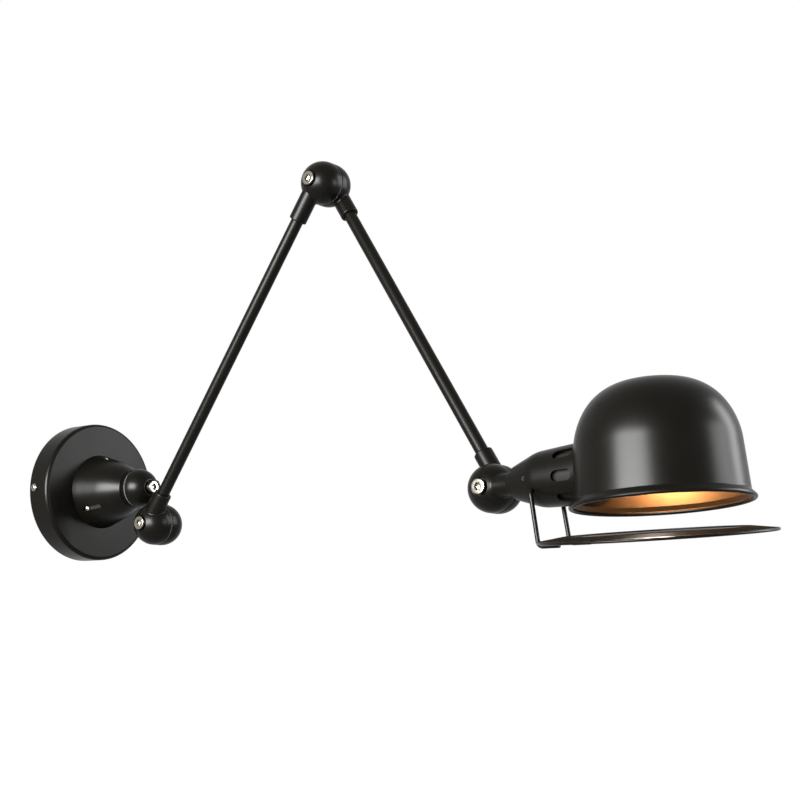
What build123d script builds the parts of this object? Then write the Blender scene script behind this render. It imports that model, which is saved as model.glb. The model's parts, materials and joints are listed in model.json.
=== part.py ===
from build123d import *
import os
from math import atan2, cos, degrees, radians, sin, sqrt, tan

# Swing arm wall lamp in satin black metal, with a spun shade and a hinged guard ring.
# Sizes are millimetres and angles are degrees. The wall is the plane Y = 0, the lamp reaches
# out along -Y, +Z is up, and the bolt heads of the arm's ball joints are on the -X side.

# Wall bracket
bracket_length = 114.0
bracket_width = 22.0
bracket_plate = 2.0
bracket_tab_width = 14.0
bracket_tab_height = 13.0
bracket_tongue_width = 30.0
bracket_tongue_height = 29.0
wall_hole_spacing = 60.0
wall_hole_width = 4.6
wall_slot_travel = 8.0
cable_entry_radius = 9.0

# Terminal block and earth screw inside the canopy
terminal_ways = 3
terminal_pitch = 9.0
terminal_depth = 15.0
terminal_height = 10.0
terminal_edge = 1.0
terminal_lift = 20.5
terminal_screw_radius = 1.8
terminal_screw_length = 6.0
terminal_screw_sink = 1.0
wire_entry_radius = 1.7
earth_screw_radius = 2.0
earth_head_radius = 3.8
earth_head_height = 2.0
earth_screw_offset = 16.0

# Canopy, the round pan against the wall
canopy_radius = 60.0
canopy_depth = 22.3
canopy_wall = 1.2
canopy_edge_radius = 3.2
canopy_cable_radius = 15.0
side_screw_height = 6.8
side_screw_radius = 2.0
side_screw_length = 9.0
side_head_radius = 3.3
side_head_height = 2.6
side_head_rounding = 1.8

# Hub, the bell between the canopy and the first ball
hub_root_radius = 32.2
hub_shoulder_radius = 24.9
hub_shoulder_at = 46.0
hub_nose_radius = 16.3
hub_nose_at = 63.0
hub_wall = 2.4
hub_nose_wall = 3.0
hub_slot_count = 3
hub_slot_start = 36.0
hub_slot_end = 54.5
hub_slot_width = 5.2
hub_screw_at = 38.8
hub_screw_radius = 1.4
hub_screw_length = 5.0
hub_screw_head_radius = 2.1
hub_screw_head_height = 1.8
collar_clearance = 0.15
collar_flange = 2.0
collar_wall = 2.4
collar_end = 43.0
collar_screw_circle = 20.0
collar_screw_turn = 30.0
collar_screw_radius = 1.6
collar_screw_length = 6.0
collar_head_radius = 2.9
collar_head_height = 2.0

# First ball, which turns about the wall's normal on one bolt
base_ball_radius = 16.8
base_ball_at = 71.0
base_cavity_inner = 4.8
base_cavity_depth = 4.5
knuckle_cavity_depth = 8.5
knuckle_cavity_side = 5.1
knuckle_cavity_taper = 3.0
base_bolt_radius = 3.0
base_bolt_length = 26.0
base_head_radius = 5.1
base_head_top = 90.8
base_recess_floor = 84.0
base_recess_clearance = 1.1
stem_radius = 8.0
stem_length = 15.0
stem_wire_radius = 1.7
stem_wire_offset = 5.5
stem_nut_width = 20.0
stem_nut_height = 5.0

# Ball joints of the arms, each made of two hollow halves on one bolt along X
ball_radius = 17.5
ball_barrel = 3.8
seam_gap = 1.0
friction_ring_thickness = 0.7
friction_ring_width = 3.4
friction_ring_inset = 0.5
cavity_inner_radius = 6.2
cavity_wall = 4.4
cavity_depth = 12.0
bolt_radius = 3.0
bolt_head_radius = 5.5
bolt_head_height = 5.0
bolt_head_proud = 1.0
bolt_head_edge = 0.5
bolt_hex_width = 5.0
bolt_hex_depth = 2.6
bolt_end = 19.5
counterbore_clearance = 0.9
nut_width = 10.0
nut_height = 5.0
nut_floor = 13.5

# Places of the ball joints
shoulder_out = 25.7
shoulder_drop = 32.3
lower_arm_length = 321.7
lower_arm_lean = 35.13
upper_arm_length = 301.4
upper_arm_lean = 32.24
arm_offset = 10.75

# Arm tubes, their sockets, and the neck that carries the shoulder
tube_radius = 5.0
tube_wall = 1.0
socket_radius = 7.2
socket_reach = 31.0
socket_floor = 18.5
socket_edge = 1.0
wire_duct_radius = 2.6
wire_duct_set_back = 3.0
knuckle_neck_radius = 8.0
knuckle_neck_offset = 9.0
knuckle_neck_from_out = 9.0
knuckle_neck_from_drop = 4.0
knuckle_duct_back = 4.0

# Head: neck, lampholder cover and shade, pitched up a little about the wrist
head_pitch = 3.4
head_drop = 0.3
neck_root_radius = 8.2
neck_root_at = 17.0
neck_radius = 10.0
neck_full_at = 25.0
neck_end = 44.0
cover_start = 26.0
cover_start_radius = 12.0
cover_knee_at = 46.5
cover_knee_radius = 19.3
cover_knee_rounding = 28.0
cover_mouth_at = 88.0
cover_mouth_radius = 21.8
cover_nose_end = 42.0
cover_wall = 1.5
cover_nose_edge = 0.8
cover_floor_rise = 6.5
cover_floor_step = 1.8
cover_slot_count = 8
cover_slot_width = 7.0
cover_slot_start = 57.5
cover_slot_end = 75.0
cover_slot_turn = 6.0
grub_screw_at = 38.5
grub_screw_radius = 1.9
grub_hex_width = 2.0

# Lampholder, standard screw lamp and the ring that clamps the shade
nipple_radius = 5.0
nipple_wall = 1.3
nipple_start = 31.0
nipple_end = 57.0
holder_radius = 16.6
holder_start = 52.5
holder_end = 92.0
holder_floor = 5.0
holder_wall = 2.2
shell_wall = 0.7
shell_start = 58.5
contact_radius = 5.5
contact_height = 2.0
lamp_contact_radius = 4.5
lamp_contact_height = 1.5
lamp_cap_nose_radius = 11.0
lamp_cap_nose_length = 3.0
lamp_cap_taper = 2.0
lamp_cap_radius = 13.1
lamp_cap_start = 62.0
lamp_cap_end = 88.0
lamp_neck_radius = 12.0
lamp_neck_length = 4.0
lamp_neck_flare = 1.0
lamp_radius = 22.5
lamp_globe_start = 37.0
lamp_end = 138.0
lamp_wall = 0.8
clamp_ring_radius = 21.0
clamp_ring_front = 91.0

# Shade, a spun dome with a rolled rim
shade_reach = 135.0
shade_drop = 27.7
shade_wall_radius = 57.1
shade_wall_height = 38.6
shade_wall_lean = 4.0
shade_shoulder_radius = 52.9
shade_shoulder_turn = 29.7
shade_crown_radius = 200.0
shade_height = 82.1
shade_thickness = 1.0
shade_rim_radius = 60.1
shade_rim_bead = 1.5
shade_rim_crease = 5.6
shade_rim_overhang = 0.3
shade_trim_depth = 10.0

# Guard ring below the shade, hung on two wire legs hinged at the cover
guard_radius = 78.7
guard_width = 19.7
guard_slope = 13.0
guard_skew = 5.6
guard_thickness = 1.2
guard_reach = 134.6
guard_drop = 40.5
leg_radius = 1.6
leg_spread = 19.8
leg_pin_start = 14.8
leg_pivot_reach = 48.6
leg_pivot_drop = 6.0
leg_behind_ring = 3.6
leg_foot_length = 16.2
leg_bend_radius = 2.2

# Clearances
running_fit = 0.06
seat_fit = 0.03
clear_gap = 0.3

# A distance well past the lamp, for picking the edge that is furthest out
far_out = 1000.0

# Places worked out from the sizes above
across = Vector(1, 0, 0)
shoulder = Vector(0, -(base_ball_at + shoulder_out), -shoulder_drop)
lower_direction = Vector(0, -sin(radians(lower_arm_lean)), cos(radians(lower_arm_lean)))
elbow = shoulder + lower_direction * lower_arm_length
upper_direction = Vector(0, -sin(radians(upper_arm_lean)), -cos(radians(upper_arm_lean)))
wrist = elbow + upper_direction * upper_arm_length
head_direction = Vector(0, -cos(radians(head_pitch)), sin(radians(head_pitch)))
head_up = Vector(0, sin(radians(head_pitch)), cos(radians(head_pitch)))
head_origin = wrist + Vector(-arm_offset, 0, -head_drop)
shade_base = head_origin + head_direction * shade_reach - head_up * shade_drop
guard_centre = wrist + Vector(-arm_offset, -guard_reach, -guard_drop)
guard_up = Vector(-sin(radians(guard_skew)), 0, cos(radians(guard_skew)))

# Section planes: the local X is a radius and the local Y runs along the axis of revolution
wall_plane = Plane(origin=(0, 0, 0), x_dir=(1, 0, 0), z_dir=(0, -1, 0))
wall_section = Plane(origin=(0, 0, 0), x_dir=(0, 0, 1), z_dir=(1, 0, 0))
wall_axis = Axis((0, 0, 0), (0, -1, 0))
head_section = Plane(origin=head_origin, x_dir=head_up, z_dir=(1, 0, 0))
head_axis = Axis(head_origin, head_direction)
shade_section = Plane(origin=shade_base, x_dir=-head_direction, z_dir=(1, 0, 0))
shade_axis = Axis(shade_base, head_up)
guard_side = Vector(-cos(radians(guard_skew)), 0, -sin(radians(guard_skew)))
guard_section = Plane(origin=guard_centre, x_dir=(0, -1, 0), z_dir=guard_side)
guard_axis = Axis(guard_centre, guard_up)


def revolve_outline(section, axis, points, mode=Mode.ADD):
    """Revolve a straight-sided outline, given as radius and height, about an axis."""
    with BuildSketch(section) as outline:
        with BuildLine():
            Polyline(*points, close=True)
        make_face()
    revolve(outline.sketch, axis=axis, mode=mode)


def bar(plane, radius, length, mode=Mode.ADD):
    """Round bar, or round hole, that starts on a plane and follows its normal."""
    with BuildSketch(plane) as outline:
        Circle(radius)
    extrude(outline.sketch, amount=length, mode=mode)


def hex_bar(plane, width, length, mode=Mode.ADD):
    """Hexagonal bar, or hexagonal pocket, given by its width across the flats."""
    with BuildSketch(plane) as outline:
        RegularPolygon(width / 2, 6, major_radius=False)
    extrude(outline.sketch, amount=length, mode=mode)


def nut(plane, width, height, bore):
    """Plain hexagonal nut, standing on a plane."""
    hex_bar(plane, width, height)
    bar(plane, bore, height, Mode.SUBTRACT)


def ring(plane, outer, inner, height):
    """Flat ring, standing on a plane."""
    with BuildSketch(plane) as outline:
        Circle(outer)
        Circle(inner, mode=Mode.SUBTRACT)
    extrude(outline.sketch, amount=height)


def side_plane(centre, side, distance):
    """Plane square to a pivot's bolt, at a distance from the seam; side is -1 near, 1 far."""
    return Plane(origin=centre + across * side * distance, x_dir=(0, 1, 0), z_dir=(side, 0, 0))


def half_ball(centre, side):
    """One half of a pivot's ball: seam face, short barrel and a quarter circle to the pole."""
    section = Plane(origin=centre, x_dir=(0, 0, 1), z_dir=(0, side, 0))
    knee = ball_radius * sin(radians(45))
    with BuildSketch(section) as outline:
        with BuildLine():
            Line((0, ball_barrel + ball_radius), (0, seam_gap / 2))
            Line((0, seam_gap / 2), (ball_radius, seam_gap / 2))
            Line((ball_radius, seam_gap / 2), (ball_radius, ball_barrel))
            ThreePointArc((ball_radius, ball_barrel), (knee, ball_barrel + knee),
                          (0, ball_barrel + ball_radius))
        make_face()
    revolve(outline.sketch, axis=Axis(centre, across))


def socket(centre, side, direction):
    """Socket that grows out of a half ball and takes the end of an arm tube."""
    start = centre + across * side * arm_offset + direction * cavity_inner_radius
    bar(Plane(origin=start, z_dir=direction), socket_radius, socket_reach - cavity_inner_radius)
    end_edges = edges().filter_by(GeomType.CIRCLE).sort_by_distance(start + direction * far_out)
    chamfer(end_edges[0], socket_edge)


def hollow(centre, side):
    """Ring-shaped hollow for the wires, open at the seam, round the boss of the bolt."""
    section = Plane(origin=centre, x_dir=(0, 0, 1), z_dir=(0, side, 0))
    outer = ball_radius - cavity_wall
    revolve_outline(section, Axis(centre, across),
                    [(cavity_inner_radius, 0), (outer, 0), (outer, cavity_depth),
                     (cavity_inner_radius, cavity_depth)], Mode.SUBTRACT)


def socket_bore(centre, side, direction):
    """Seat of the arm tube, and the duct from it into the ball's hollow."""
    axis_point = centre + across * side * arm_offset
    duct_start = cavity_inner_radius + wire_duct_set_back
    duct = Plane(origin=axis_point + direction * duct_start, z_dir=direction)
    seat = Plane(origin=axis_point + direction * socket_floor, z_dir=direction)
    bar(duct, wire_duct_radius, socket_floor, Mode.SUBTRACT)
    bar(seat, tube_radius + seat_fit, socket_reach, Mode.SUBTRACT)


def head_seat(centre):
    """Bolt hole and counterbore of the near half, which holds the bolt's head."""
    floor = ball_barrel + ball_radius + bolt_head_proud - bolt_head_height
    bar(side_plane(centre, -1, 0), bolt_radius + seat_fit, ball_radius * 2, Mode.SUBTRACT)
    bar(side_plane(centre, -1, floor), bolt_head_radius + counterbore_clearance,
        ball_radius, Mode.SUBTRACT)


def nut_seat(centre):
    """Bolt hole and hexagonal pocket of the far half, which holds the nut and turns on the bolt."""
    bar(side_plane(centre, 1, 0), bolt_radius + running_fit, ball_radius * 2, Mode.SUBTRACT)
    hex_bar(side_plane(centre, 1, nut_floor), nut_width + 2 * seat_fit, ball_radius, Mode.SUBTRACT)


def pivot_bolt(centre):
    """Socket-head bolt of a pivot, from its head on the near side to its end on the far side."""
    head_top = ball_barrel + ball_radius + bolt_head_proud
    head_bottom = head_top - bolt_head_height
    bar(side_plane(centre, -1, head_bottom), bolt_head_radius, bolt_head_height)
    rim = edges().filter_by(GeomType.CIRCLE).sort_by(Axis.X)[0]
    chamfer(rim, bolt_head_edge)
    bar(side_plane(centre, 1, -head_bottom), bolt_radius, head_bottom + bolt_end)
    hex_bar(side_plane(centre, -1, head_top - bolt_hex_depth), bolt_hex_width, bolt_hex_depth,
            Mode.SUBTRACT)


def friction_ring(centre):
    """Friction ring that rides on the seam face of the far half."""
    outer = ball_radius - friction_ring_inset
    ring(side_plane(centre, 1, seam_gap / 2 - friction_ring_thickness), outer,
         outer - friction_ring_width, friction_ring_thickness)


def arm_tube(start, direction, side, length):
    """Thin tube between the sockets of two ball joints."""
    first = start + across * side * arm_offset + direction * socket_floor
    ring(Plane(origin=first, z_dir=direction), tube_radius, tube_radius - tube_wall,
         length - 2 * socket_floor)


def dome_curve(grow, start_height):
    """Outline of the dome, moved out by a distance, for use inside a BuildLine: the leaning wall,
    then the shoulder, brow and crown arcs up to the axis. Returns its foot and its top."""
    shoulder_foot = shoulder_centre + wall_outward * (shade_shoulder_radius + grow)
    foot_radius = shoulder_foot.X + (shoulder_foot.Y - start_height) * tan(radians(shade_wall_lean))
    foot = (foot_radius, start_height)
    top = (0, shade_height + grow)
    wall = Line(foot, shoulder_foot)
    shoulder_arc = JernArc(wall @ 1, wall % 1, shade_shoulder_radius + grow, shade_shoulder_turn)
    brow_arc = JernArc(shoulder_arc @ 1, shoulder_arc % 1, brow_radius + grow, brow_turn)
    TangentArc(brow_arc @ 1, top, tangent=brow_arc % 1)
    return foot, top


def dome_block(grow, mode):
    """Solid block inside the dome's outline, for trimming the pieces that meet the shade."""
    with BuildSketch(shade_section) as outline:
        with BuildLine():
            foot, top = dome_curve(grow, -shade_trim_depth)
            Polyline(top, (0, -shade_trim_depth), foot)
        make_face()
    revolve(outline.sketch, axis=shade_axis, mode=mode)


def base_ball_point(distance):
    """Point of the first ball's outline at a distance from the wall."""
    return (sqrt(base_ball_radius ** 2 - (distance - base_ball_at) ** 2), distance)


def hub_block(inset, end, mode):
    """Solid block inside the hub's side, moved in by a distance: a cone, then a tangent arc."""
    with BuildSketch(wall_section) as outline:
        with BuildLine():
            cone = Line((hub_root_radius - inset, canopy_depth),
                        (hub_shoulder_radius - inset, hub_shoulder_at))
            brow = TangentArc(cone @ 1, (hub_nose_radius - inset, hub_nose_at), tangent=cone % 1)
            Polyline(brow @ 1, (0, hub_nose_at), (0, canopy_depth), cone @ 0)
        make_face()
        with Locations((0, hub_nose_at)):
            Rectangle(hub_root_radius * 2, (hub_nose_at - end) * 2, mode=Mode.SUBTRACT)
    revolve(outline.sketch, axis=wall_axis, mode=mode)


def lamp_globe(inset, mode):
    """Solid of the lamp's glass, moved in by a distance: a flared neck that runs into a globe."""
    radius = lamp_radius - inset
    start_angle = radians(lamp_globe_start)
    side_angle = radians(45)
    globe_start = (radius * cos(start_angle), lamp_centre - radius * sin(start_angle))
    with BuildSketch(head_section) as outline:
        with BuildLine():
            Polyline((0, lamp_cap_end), (lamp_neck_radius - inset, lamp_cap_end),
                     (lamp_neck_radius + lamp_neck_flare - inset, lamp_cap_end + lamp_neck_length),
                     globe_start)
            ThreePointArc(globe_start, (radius * cos(side_angle), lamp_centre + radius * sin(side_angle)),
                          (0, lamp_centre + radius))
            Line((0, lamp_centre + radius), (0, lamp_cap_end))
        make_face()
    revolve(outline.sketch, axis=head_axis, mode=mode)


# Centres and turns of the dome's arcs, from the leaning wall to the crown
wall_outward = Vector(cos(radians(shade_wall_lean)), sin(radians(shade_wall_lean)))
shoulder_end = radians(shade_wall_lean + shade_shoulder_turn)
brow_outward = Vector(cos(shoulder_end), sin(shoulder_end))
wall_top = shade_wall_radius - shade_wall_height * tan(radians(shade_wall_lean))
shoulder_centre = Vector(wall_top, shade_wall_height) - wall_outward * shade_shoulder_radius
crown_centre = Vector(0, shade_height - shade_crown_radius)
from_crown = shoulder_centre + brow_outward * shade_shoulder_radius - crown_centre
brow_spare = shade_crown_radius - from_crown.dot(brow_outward)
brow_radius = (shade_crown_radius ** 2 - from_crown.dot(from_crown)) / (2 * brow_spare)
brow_centre = crown_centre + from_crown - brow_outward * brow_radius
crown_turn = degrees(atan2(brow_centre.X, brow_centre.Y - crown_centre.Y))
brow_turn = 90 - crown_turn - shade_wall_lean - shade_shoulder_turn

lamp_centre = lamp_end - lamp_radius
slot_directions = [Vector(sin(radians(turn)), 0, cos(radians(turn)))
                   for turn in range(0, 360, 360 // hub_slot_count)]
leg_pivot = wrist + Vector(-arm_offset, -leg_pivot_reach, -leg_pivot_drop)
grub_plane = Plane(origin=head_origin + head_direction * grub_screw_at, z_dir=-across)

os.makedirs("parts", exist_ok=True)

# Wall bracket: a flat strap with a tab bent forward at each end and a tongue for the terminals
with BuildPart() as wall_bracket:
    with BuildSketch(wall_plane):
        Rectangle(bracket_length, bracket_width)
        Rectangle(bracket_tongue_width, bracket_tongue_height, align=(Align.CENTER, Align.MIN))
        Circle(cable_entry_radius, mode=Mode.SUBTRACT)
        with GridLocations(wall_hole_spacing, 1, 2, 1):
            SlotCenterToCenter(wall_slot_travel, wall_hole_width, mode=Mode.SUBTRACT)
        with Locations((-earth_screw_offset, 0)):
            Circle(earth_screw_radius + seat_fit, mode=Mode.SUBTRACT)
    extrude(amount=bracket_plate)
    with BuildSketch(wall_plane.offset(bracket_plate)):
        with GridLocations(bracket_length - bracket_plate, 1, 2, 1):
            Rectangle(bracket_plate, bracket_tab_width)
    extrude(amount=bracket_tab_height - bracket_plate)
    with BuildSketch(Plane.YZ):
        with Locations((-side_screw_height, 0)):
            Circle(side_screw_radius + seat_fit)
    extrude(amount=bracket_length, both=True, mode=Mode.SUBTRACT)
wall_bracket.part.label = "wall_bracket"
export_step(wall_bracket.part, "parts/wall_bracket.step")

# Terminal block on the bracket's tongue, with wire entries below and screw wells in front
terminal_plane = Plane(origin=(0, -bracket_plate, terminal_lift), x_dir=(1, 0, 0), z_dir=(0, -1, 0))
terminal_floor = terminal_plane.offset(terminal_height - terminal_screw_length)
terminal_length = terminal_ways * terminal_pitch
with BuildPart() as terminal_block:
    with BuildSketch(terminal_plane):
        RectangleRounded(terminal_length, terminal_depth, terminal_edge)
    extrude(amount=terminal_height)
    with BuildSketch(terminal_floor):
        with GridLocations(terminal_pitch, terminal_depth / 2, terminal_ways, 2):
            Circle(terminal_screw_radius + seat_fit)
    extrude(amount=terminal_height, mode=Mode.SUBTRACT)
    with BuildSketch(Plane.XY.offset(terminal_lift - terminal_depth)):
        with Locations((0, -bracket_plate - wire_entry_radius * 2)):
            with GridLocations(terminal_pitch, 1, terminal_ways, 1):
                Circle(wire_entry_radius)
    extrude(amount=terminal_depth * 2, mode=Mode.SUBTRACT)
terminal_block.part.label = "terminal_block"
export_step(terminal_block.part, "parts/terminal_block.step")

with BuildPart() as terminal_screws:
    with BuildSketch(terminal_floor):
        with GridLocations(terminal_pitch, terminal_depth / 2, terminal_ways, 2):
            Circle(terminal_screw_radius)
    extrude(amount=terminal_screw_length - terminal_screw_sink)
terminal_screws.part.label = "terminal_screws"
export_step(terminal_screws.part, "parts/terminal_screws.step")

# Earth screw beside the cable entry
earth_plane = Plane(origin=(-earth_screw_offset, 0, 0), z_dir=(0, -1, 0))
with BuildPart() as earth_screw:
    bar(earth_plane, earth_screw_radius, bracket_plate)
    bar(earth_plane.offset(bracket_plate), earth_head_radius, earth_head_height)
earth_screw.part.label = "earth_screw"
export_step(earth_screw.part, "parts/earth_screw.step")

# Canopy: a spun pan, open at the wall, with a rounded front edge
with BuildPart() as canopy:
    with BuildSketch(wall_section):
        with BuildLine():
            Polyline((canopy_cable_radius, canopy_depth), (canopy_radius, canopy_depth),
                     (canopy_radius, 0), (canopy_radius - canopy_wall, 0),
                     (canopy_radius - canopy_wall, canopy_depth - canopy_wall),
                     (canopy_cable_radius, canopy_depth - canopy_wall), close=True)
        make_face()
        outer_corner = vertices().sort_by_distance((canopy_radius, canopy_depth))[0]
        fillet(outer_corner, canopy_edge_radius)
        inner_corner = vertices().sort_by_distance((canopy_radius - canopy_wall,
                                                    canopy_depth - canopy_wall))[0]
        fillet(inner_corner, canopy_edge_radius - canopy_wall)
    revolve(axis=wall_axis)
    with BuildSketch(Plane.YZ):
        with Locations((-side_screw_height, 0)):
            Circle(side_screw_radius + seat_fit)
    extrude(amount=canopy_radius * 2, both=True, mode=Mode.SUBTRACT)
    with BuildSketch(wall_plane):
        with PolarLocations(collar_screw_circle, hub_slot_count, collar_screw_turn):
            Circle(collar_screw_radius + seat_fit)
    extrude(amount=canopy_depth * 2, mode=Mode.SUBTRACT)
canopy.part.label = "canopy"
export_step(canopy.part, "parts/canopy.step")

# Canopy screws, one at each side, through the pan into the bracket's tabs
with BuildPart() as canopy_screws:
    for side in (-1, 1):
        head_plane = Plane(origin=(side * canopy_radius, -side_screw_height, 0),
                           z_dir=(side, 0, 0))
        bar(head_plane.offset(-side_screw_length), side_screw_radius, side_screw_length)
        bar(head_plane, side_head_radius, side_head_height)
        rim = edges().filter_by(GeomType.CIRCLE).sort_by_distance((side * far_out, 0, 0))[0]
        fillet(rim, side_head_rounding)
canopy_screws.part.label = "canopy_screws"
export_step(canopy_screws.part, "parts/canopy_screws.step")

# Collar inside the hub: a flange screwed to the canopy and a sleeve that follows the hub
hub_lean = (hub_root_radius - hub_shoulder_radius) / (hub_shoulder_at - canopy_depth)
collar_outer = hub_root_radius - hub_wall - collar_clearance
collar_tip = collar_outer - (collar_end - canopy_depth) * hub_lean
with BuildPart() as hub_collar:
    with BuildSketch(wall_section):
        with BuildLine():
            Polyline((canopy_cable_radius, canopy_depth), (collar_outer, canopy_depth),
                     (collar_tip, collar_end), (collar_tip - collar_wall, collar_end),
                     (collar_outer - collar_wall - collar_flange * hub_lean,
                      canopy_depth + collar_flange),
                     (canopy_cable_radius, canopy_depth + collar_flange), close=True)
        make_face()
    revolve(axis=wall_axis)
    with BuildSketch(wall_plane):
        with PolarLocations(collar_screw_circle, hub_slot_count, collar_screw_turn):
            Circle(collar_screw_radius + seat_fit)
    extrude(amount=canopy_depth * 2, mode=Mode.SUBTRACT)
    for direction in slot_directions:
        bar(Plane(origin=(0, -hub_screw_at, 0), z_dir=direction), hub_screw_radius + seat_fit,
            hub_root_radius, Mode.SUBTRACT)
hub_collar.part.label = "hub_collar"
export_step(hub_collar.part, "parts/hub_collar.step")

with BuildPart() as collar_screws:
    with BuildSketch(wall_plane.offset(canopy_depth + collar_flange - collar_screw_length)):
        with PolarLocations(collar_screw_circle, hub_slot_count, collar_screw_turn):
            Circle(collar_screw_radius)
    extrude(amount=collar_screw_length)
    with BuildSketch(wall_plane.offset(canopy_depth + collar_flange)):
        with PolarLocations(collar_screw_circle, hub_slot_count, collar_screw_turn):
            Circle(collar_head_radius)
    extrude(amount=collar_head_height)
collar_screws.part.label = "collar_screws"
export_step(collar_screws.part, "parts/collar_screws.step")

# Hub: a hollow bell with three slots along it and a flat nose that the first ball sits on
with BuildPart() as hub:
    hub_block(0, hub_nose_at, Mode.ADD)
    hub_block(hub_wall, hub_nose_at - hub_nose_wall, Mode.SUBTRACT)
    bar(wall_plane, stem_radius + seat_fit, hub_nose_at * 2, Mode.SUBTRACT)
    slot_middle = (hub_slot_start + hub_slot_end) / 2
    for direction in slot_directions:
        with BuildSketch(Plane(origin=(0, -slot_middle, 0), x_dir=(0, -1, 0), z_dir=direction)):
            SlotOverall(hub_slot_end - hub_slot_start, hub_slot_width)
        extrude(amount=hub_root_radius, mode=Mode.SUBTRACT)
hub.part.label = "hub"
export_step(hub.part, "parts/hub.step")

# Hub screws: they stand in the slots and are threaded into the collar's sleeve
hub_screw_seat = collar_outer - (hub_screw_at - canopy_depth) * hub_lean
with BuildPart() as hub_screws:
    for direction in slot_directions:
        seat = Plane(origin=Vector(0, -hub_screw_at, 0) + direction * hub_screw_seat,
                     z_dir=direction)
        bar(seat.offset(-hub_screw_length), hub_screw_radius, hub_screw_length + 1)
        bar(seat.offset(hub_screw_head_radius * hub_lean), hub_screw_head_radius,
            hub_screw_head_height)
hub_screws.part.label = "hub_screws"
export_step(hub_screws.part, "parts/hub_screws.step")

# Base ball: the inner half of the first ball, with a stem through the hub's nose
base_seam = base_ball_at - seam_gap / 2
with BuildPart() as base_ball:
    with BuildSketch(wall_section):
        with BuildLine():
            back_edge = base_ball_point(hub_nose_at)
            seam_edge = base_ball_point(base_seam)
            ThreePointArc(back_edge, base_ball_point((hub_nose_at + base_seam) / 2), seam_edge)
            Polyline(seam_edge, (0, base_seam), (0, hub_nose_at - stem_length),
                     (stem_radius, hub_nose_at - stem_length), (stem_radius, hub_nose_at),
                     back_edge)
        make_face()
    revolve(axis=wall_axis)
    ring_outer = base_ball_radius - cavity_wall
    revolve_outline(wall_section, wall_axis,
                    [(base_cavity_inner, base_seam - base_cavity_depth),
                     (ring_outer, base_seam - base_cavity_depth), (ring_outer, base_ball_at),
                     (base_cavity_inner, base_ball_at)], Mode.SUBTRACT)
    bar(wall_plane, base_bolt_radius + seat_fit, base_ball_at * 2, Mode.SUBTRACT)
    with BuildSketch(wall_plane):
        with GridLocations(stem_wire_offset * 2, 1, 2, 1):
            Circle(stem_wire_radius)
    extrude(amount=base_ball_at, mode=Mode.SUBTRACT)
base_ball.part.label = "base_ball"
export_step(base_ball.part, "parts/base_ball.step")

with BuildPart() as hub_nut:
    nut(wall_plane.offset(hub_nose_at - hub_nose_wall - stem_nut_height), stem_nut_width,
        stem_nut_height, stem_radius + seat_fit)
hub_nut.part.label = "hub_nut"
export_step(hub_nut.part, "parts/hub_nut.step")

# Base pivot bolt: screwed into the base ball, with the knuckle turning round its shank
base_head_bottom = base_recess_floor + clear_gap
base_head_plane = wall_plane.offset(base_head_bottom)
with BuildPart() as base_pivot_bolt:
    bar(base_head_plane.offset(-base_bolt_length), base_bolt_radius, base_bolt_length)
    bar(base_head_plane, base_head_radius, base_head_top - base_head_bottom)
    rim = edges().filter_by(GeomType.CIRCLE).sort_by(Axis.Y)[0]
    chamfer(rim, bolt_head_edge)
    hex_bar(wall_plane.offset(base_head_top - bolt_hex_depth), bolt_hex_width, bolt_hex_depth,
            Mode.SUBTRACT)
base_pivot_bolt.part.label = "base_pivot_bolt"
export_step(base_pivot_bolt.part, "parts/base_pivot_bolt.step")

with BuildPart() as base_friction_ring:
    outer = base_ball_radius - friction_ring_inset
    ring(wall_plane.offset(base_seam), outer, outer - friction_ring_width, friction_ring_thickness)
base_friction_ring.part.label = "base_friction_ring"
export_step(base_friction_ring.part, "parts/base_friction_ring.step")

# Knuckle: outer half of the first ball, far half of the shoulder and the neck between them
knuckle_seam = base_ball_at + seam_gap / 2
neck_from = Vector(knuckle_neck_offset, -(base_ball_at + knuckle_neck_from_out),
                   -knuckle_neck_from_drop)
neck_to = shoulder + across * knuckle_neck_offset
neck_line = neck_to - neck_from
neck_plane = Plane(origin=neck_from, z_dir=neck_line)
with BuildPart() as knuckle:
    with BuildSketch(wall_section):
        with BuildLine():
            seam_edge = base_ball_point(knuckle_seam)
            base_pole = (0, base_ball_at + base_ball_radius)
            ThreePointArc(seam_edge, base_ball_point(base_ball_at + base_ball_radius / 2), base_pole)
            Polyline(base_pole, (0, knuckle_seam), seam_edge)
        make_face()
    revolve(axis=wall_axis)
    bar(neck_plane, knuckle_neck_radius, neck_line.length)
    half_ball(shoulder, 1)
    hollow(shoulder, 1)
    nut_seat(shoulder)
    revolve_outline(wall_section, wall_axis,
                    [(base_cavity_inner, base_ball_at), (ring_outer, base_ball_at),
                     (ring_outer, knuckle_seam + knuckle_cavity_side),
                     (base_cavity_inner + knuckle_cavity_taper, knuckle_seam + knuckle_cavity_depth),
                     (base_cavity_inner, knuckle_seam + knuckle_cavity_depth)], Mode.SUBTRACT)
    bar(wall_plane, base_bolt_radius + running_fit, base_head_top * 2, Mode.SUBTRACT)
    bar(wall_plane.offset(base_recess_floor), base_head_radius + base_recess_clearance,
        base_ball_radius, Mode.SUBTRACT)
    bar(neck_plane.offset(-knuckle_duct_back), wire_duct_radius,
        neck_line.length - cavity_inner_radius, Mode.SUBTRACT)
knuckle.part.label = "knuckle"
export_step(knuckle.part, "parts/knuckle.step")

# Lower arm: near half of the shoulder with its socket, the tube, and the elbow's near half
with BuildPart() as lower_arm_root:
    half_ball(shoulder, -1)
    socket(shoulder, -1, lower_direction)
    hollow(shoulder, -1)
    socket_bore(shoulder, -1, lower_direction)
    head_seat(shoulder)
lower_arm_root.part.label = "lower_arm_root"
export_step(lower_arm_root.part, "parts/lower_arm_root.step")

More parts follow.
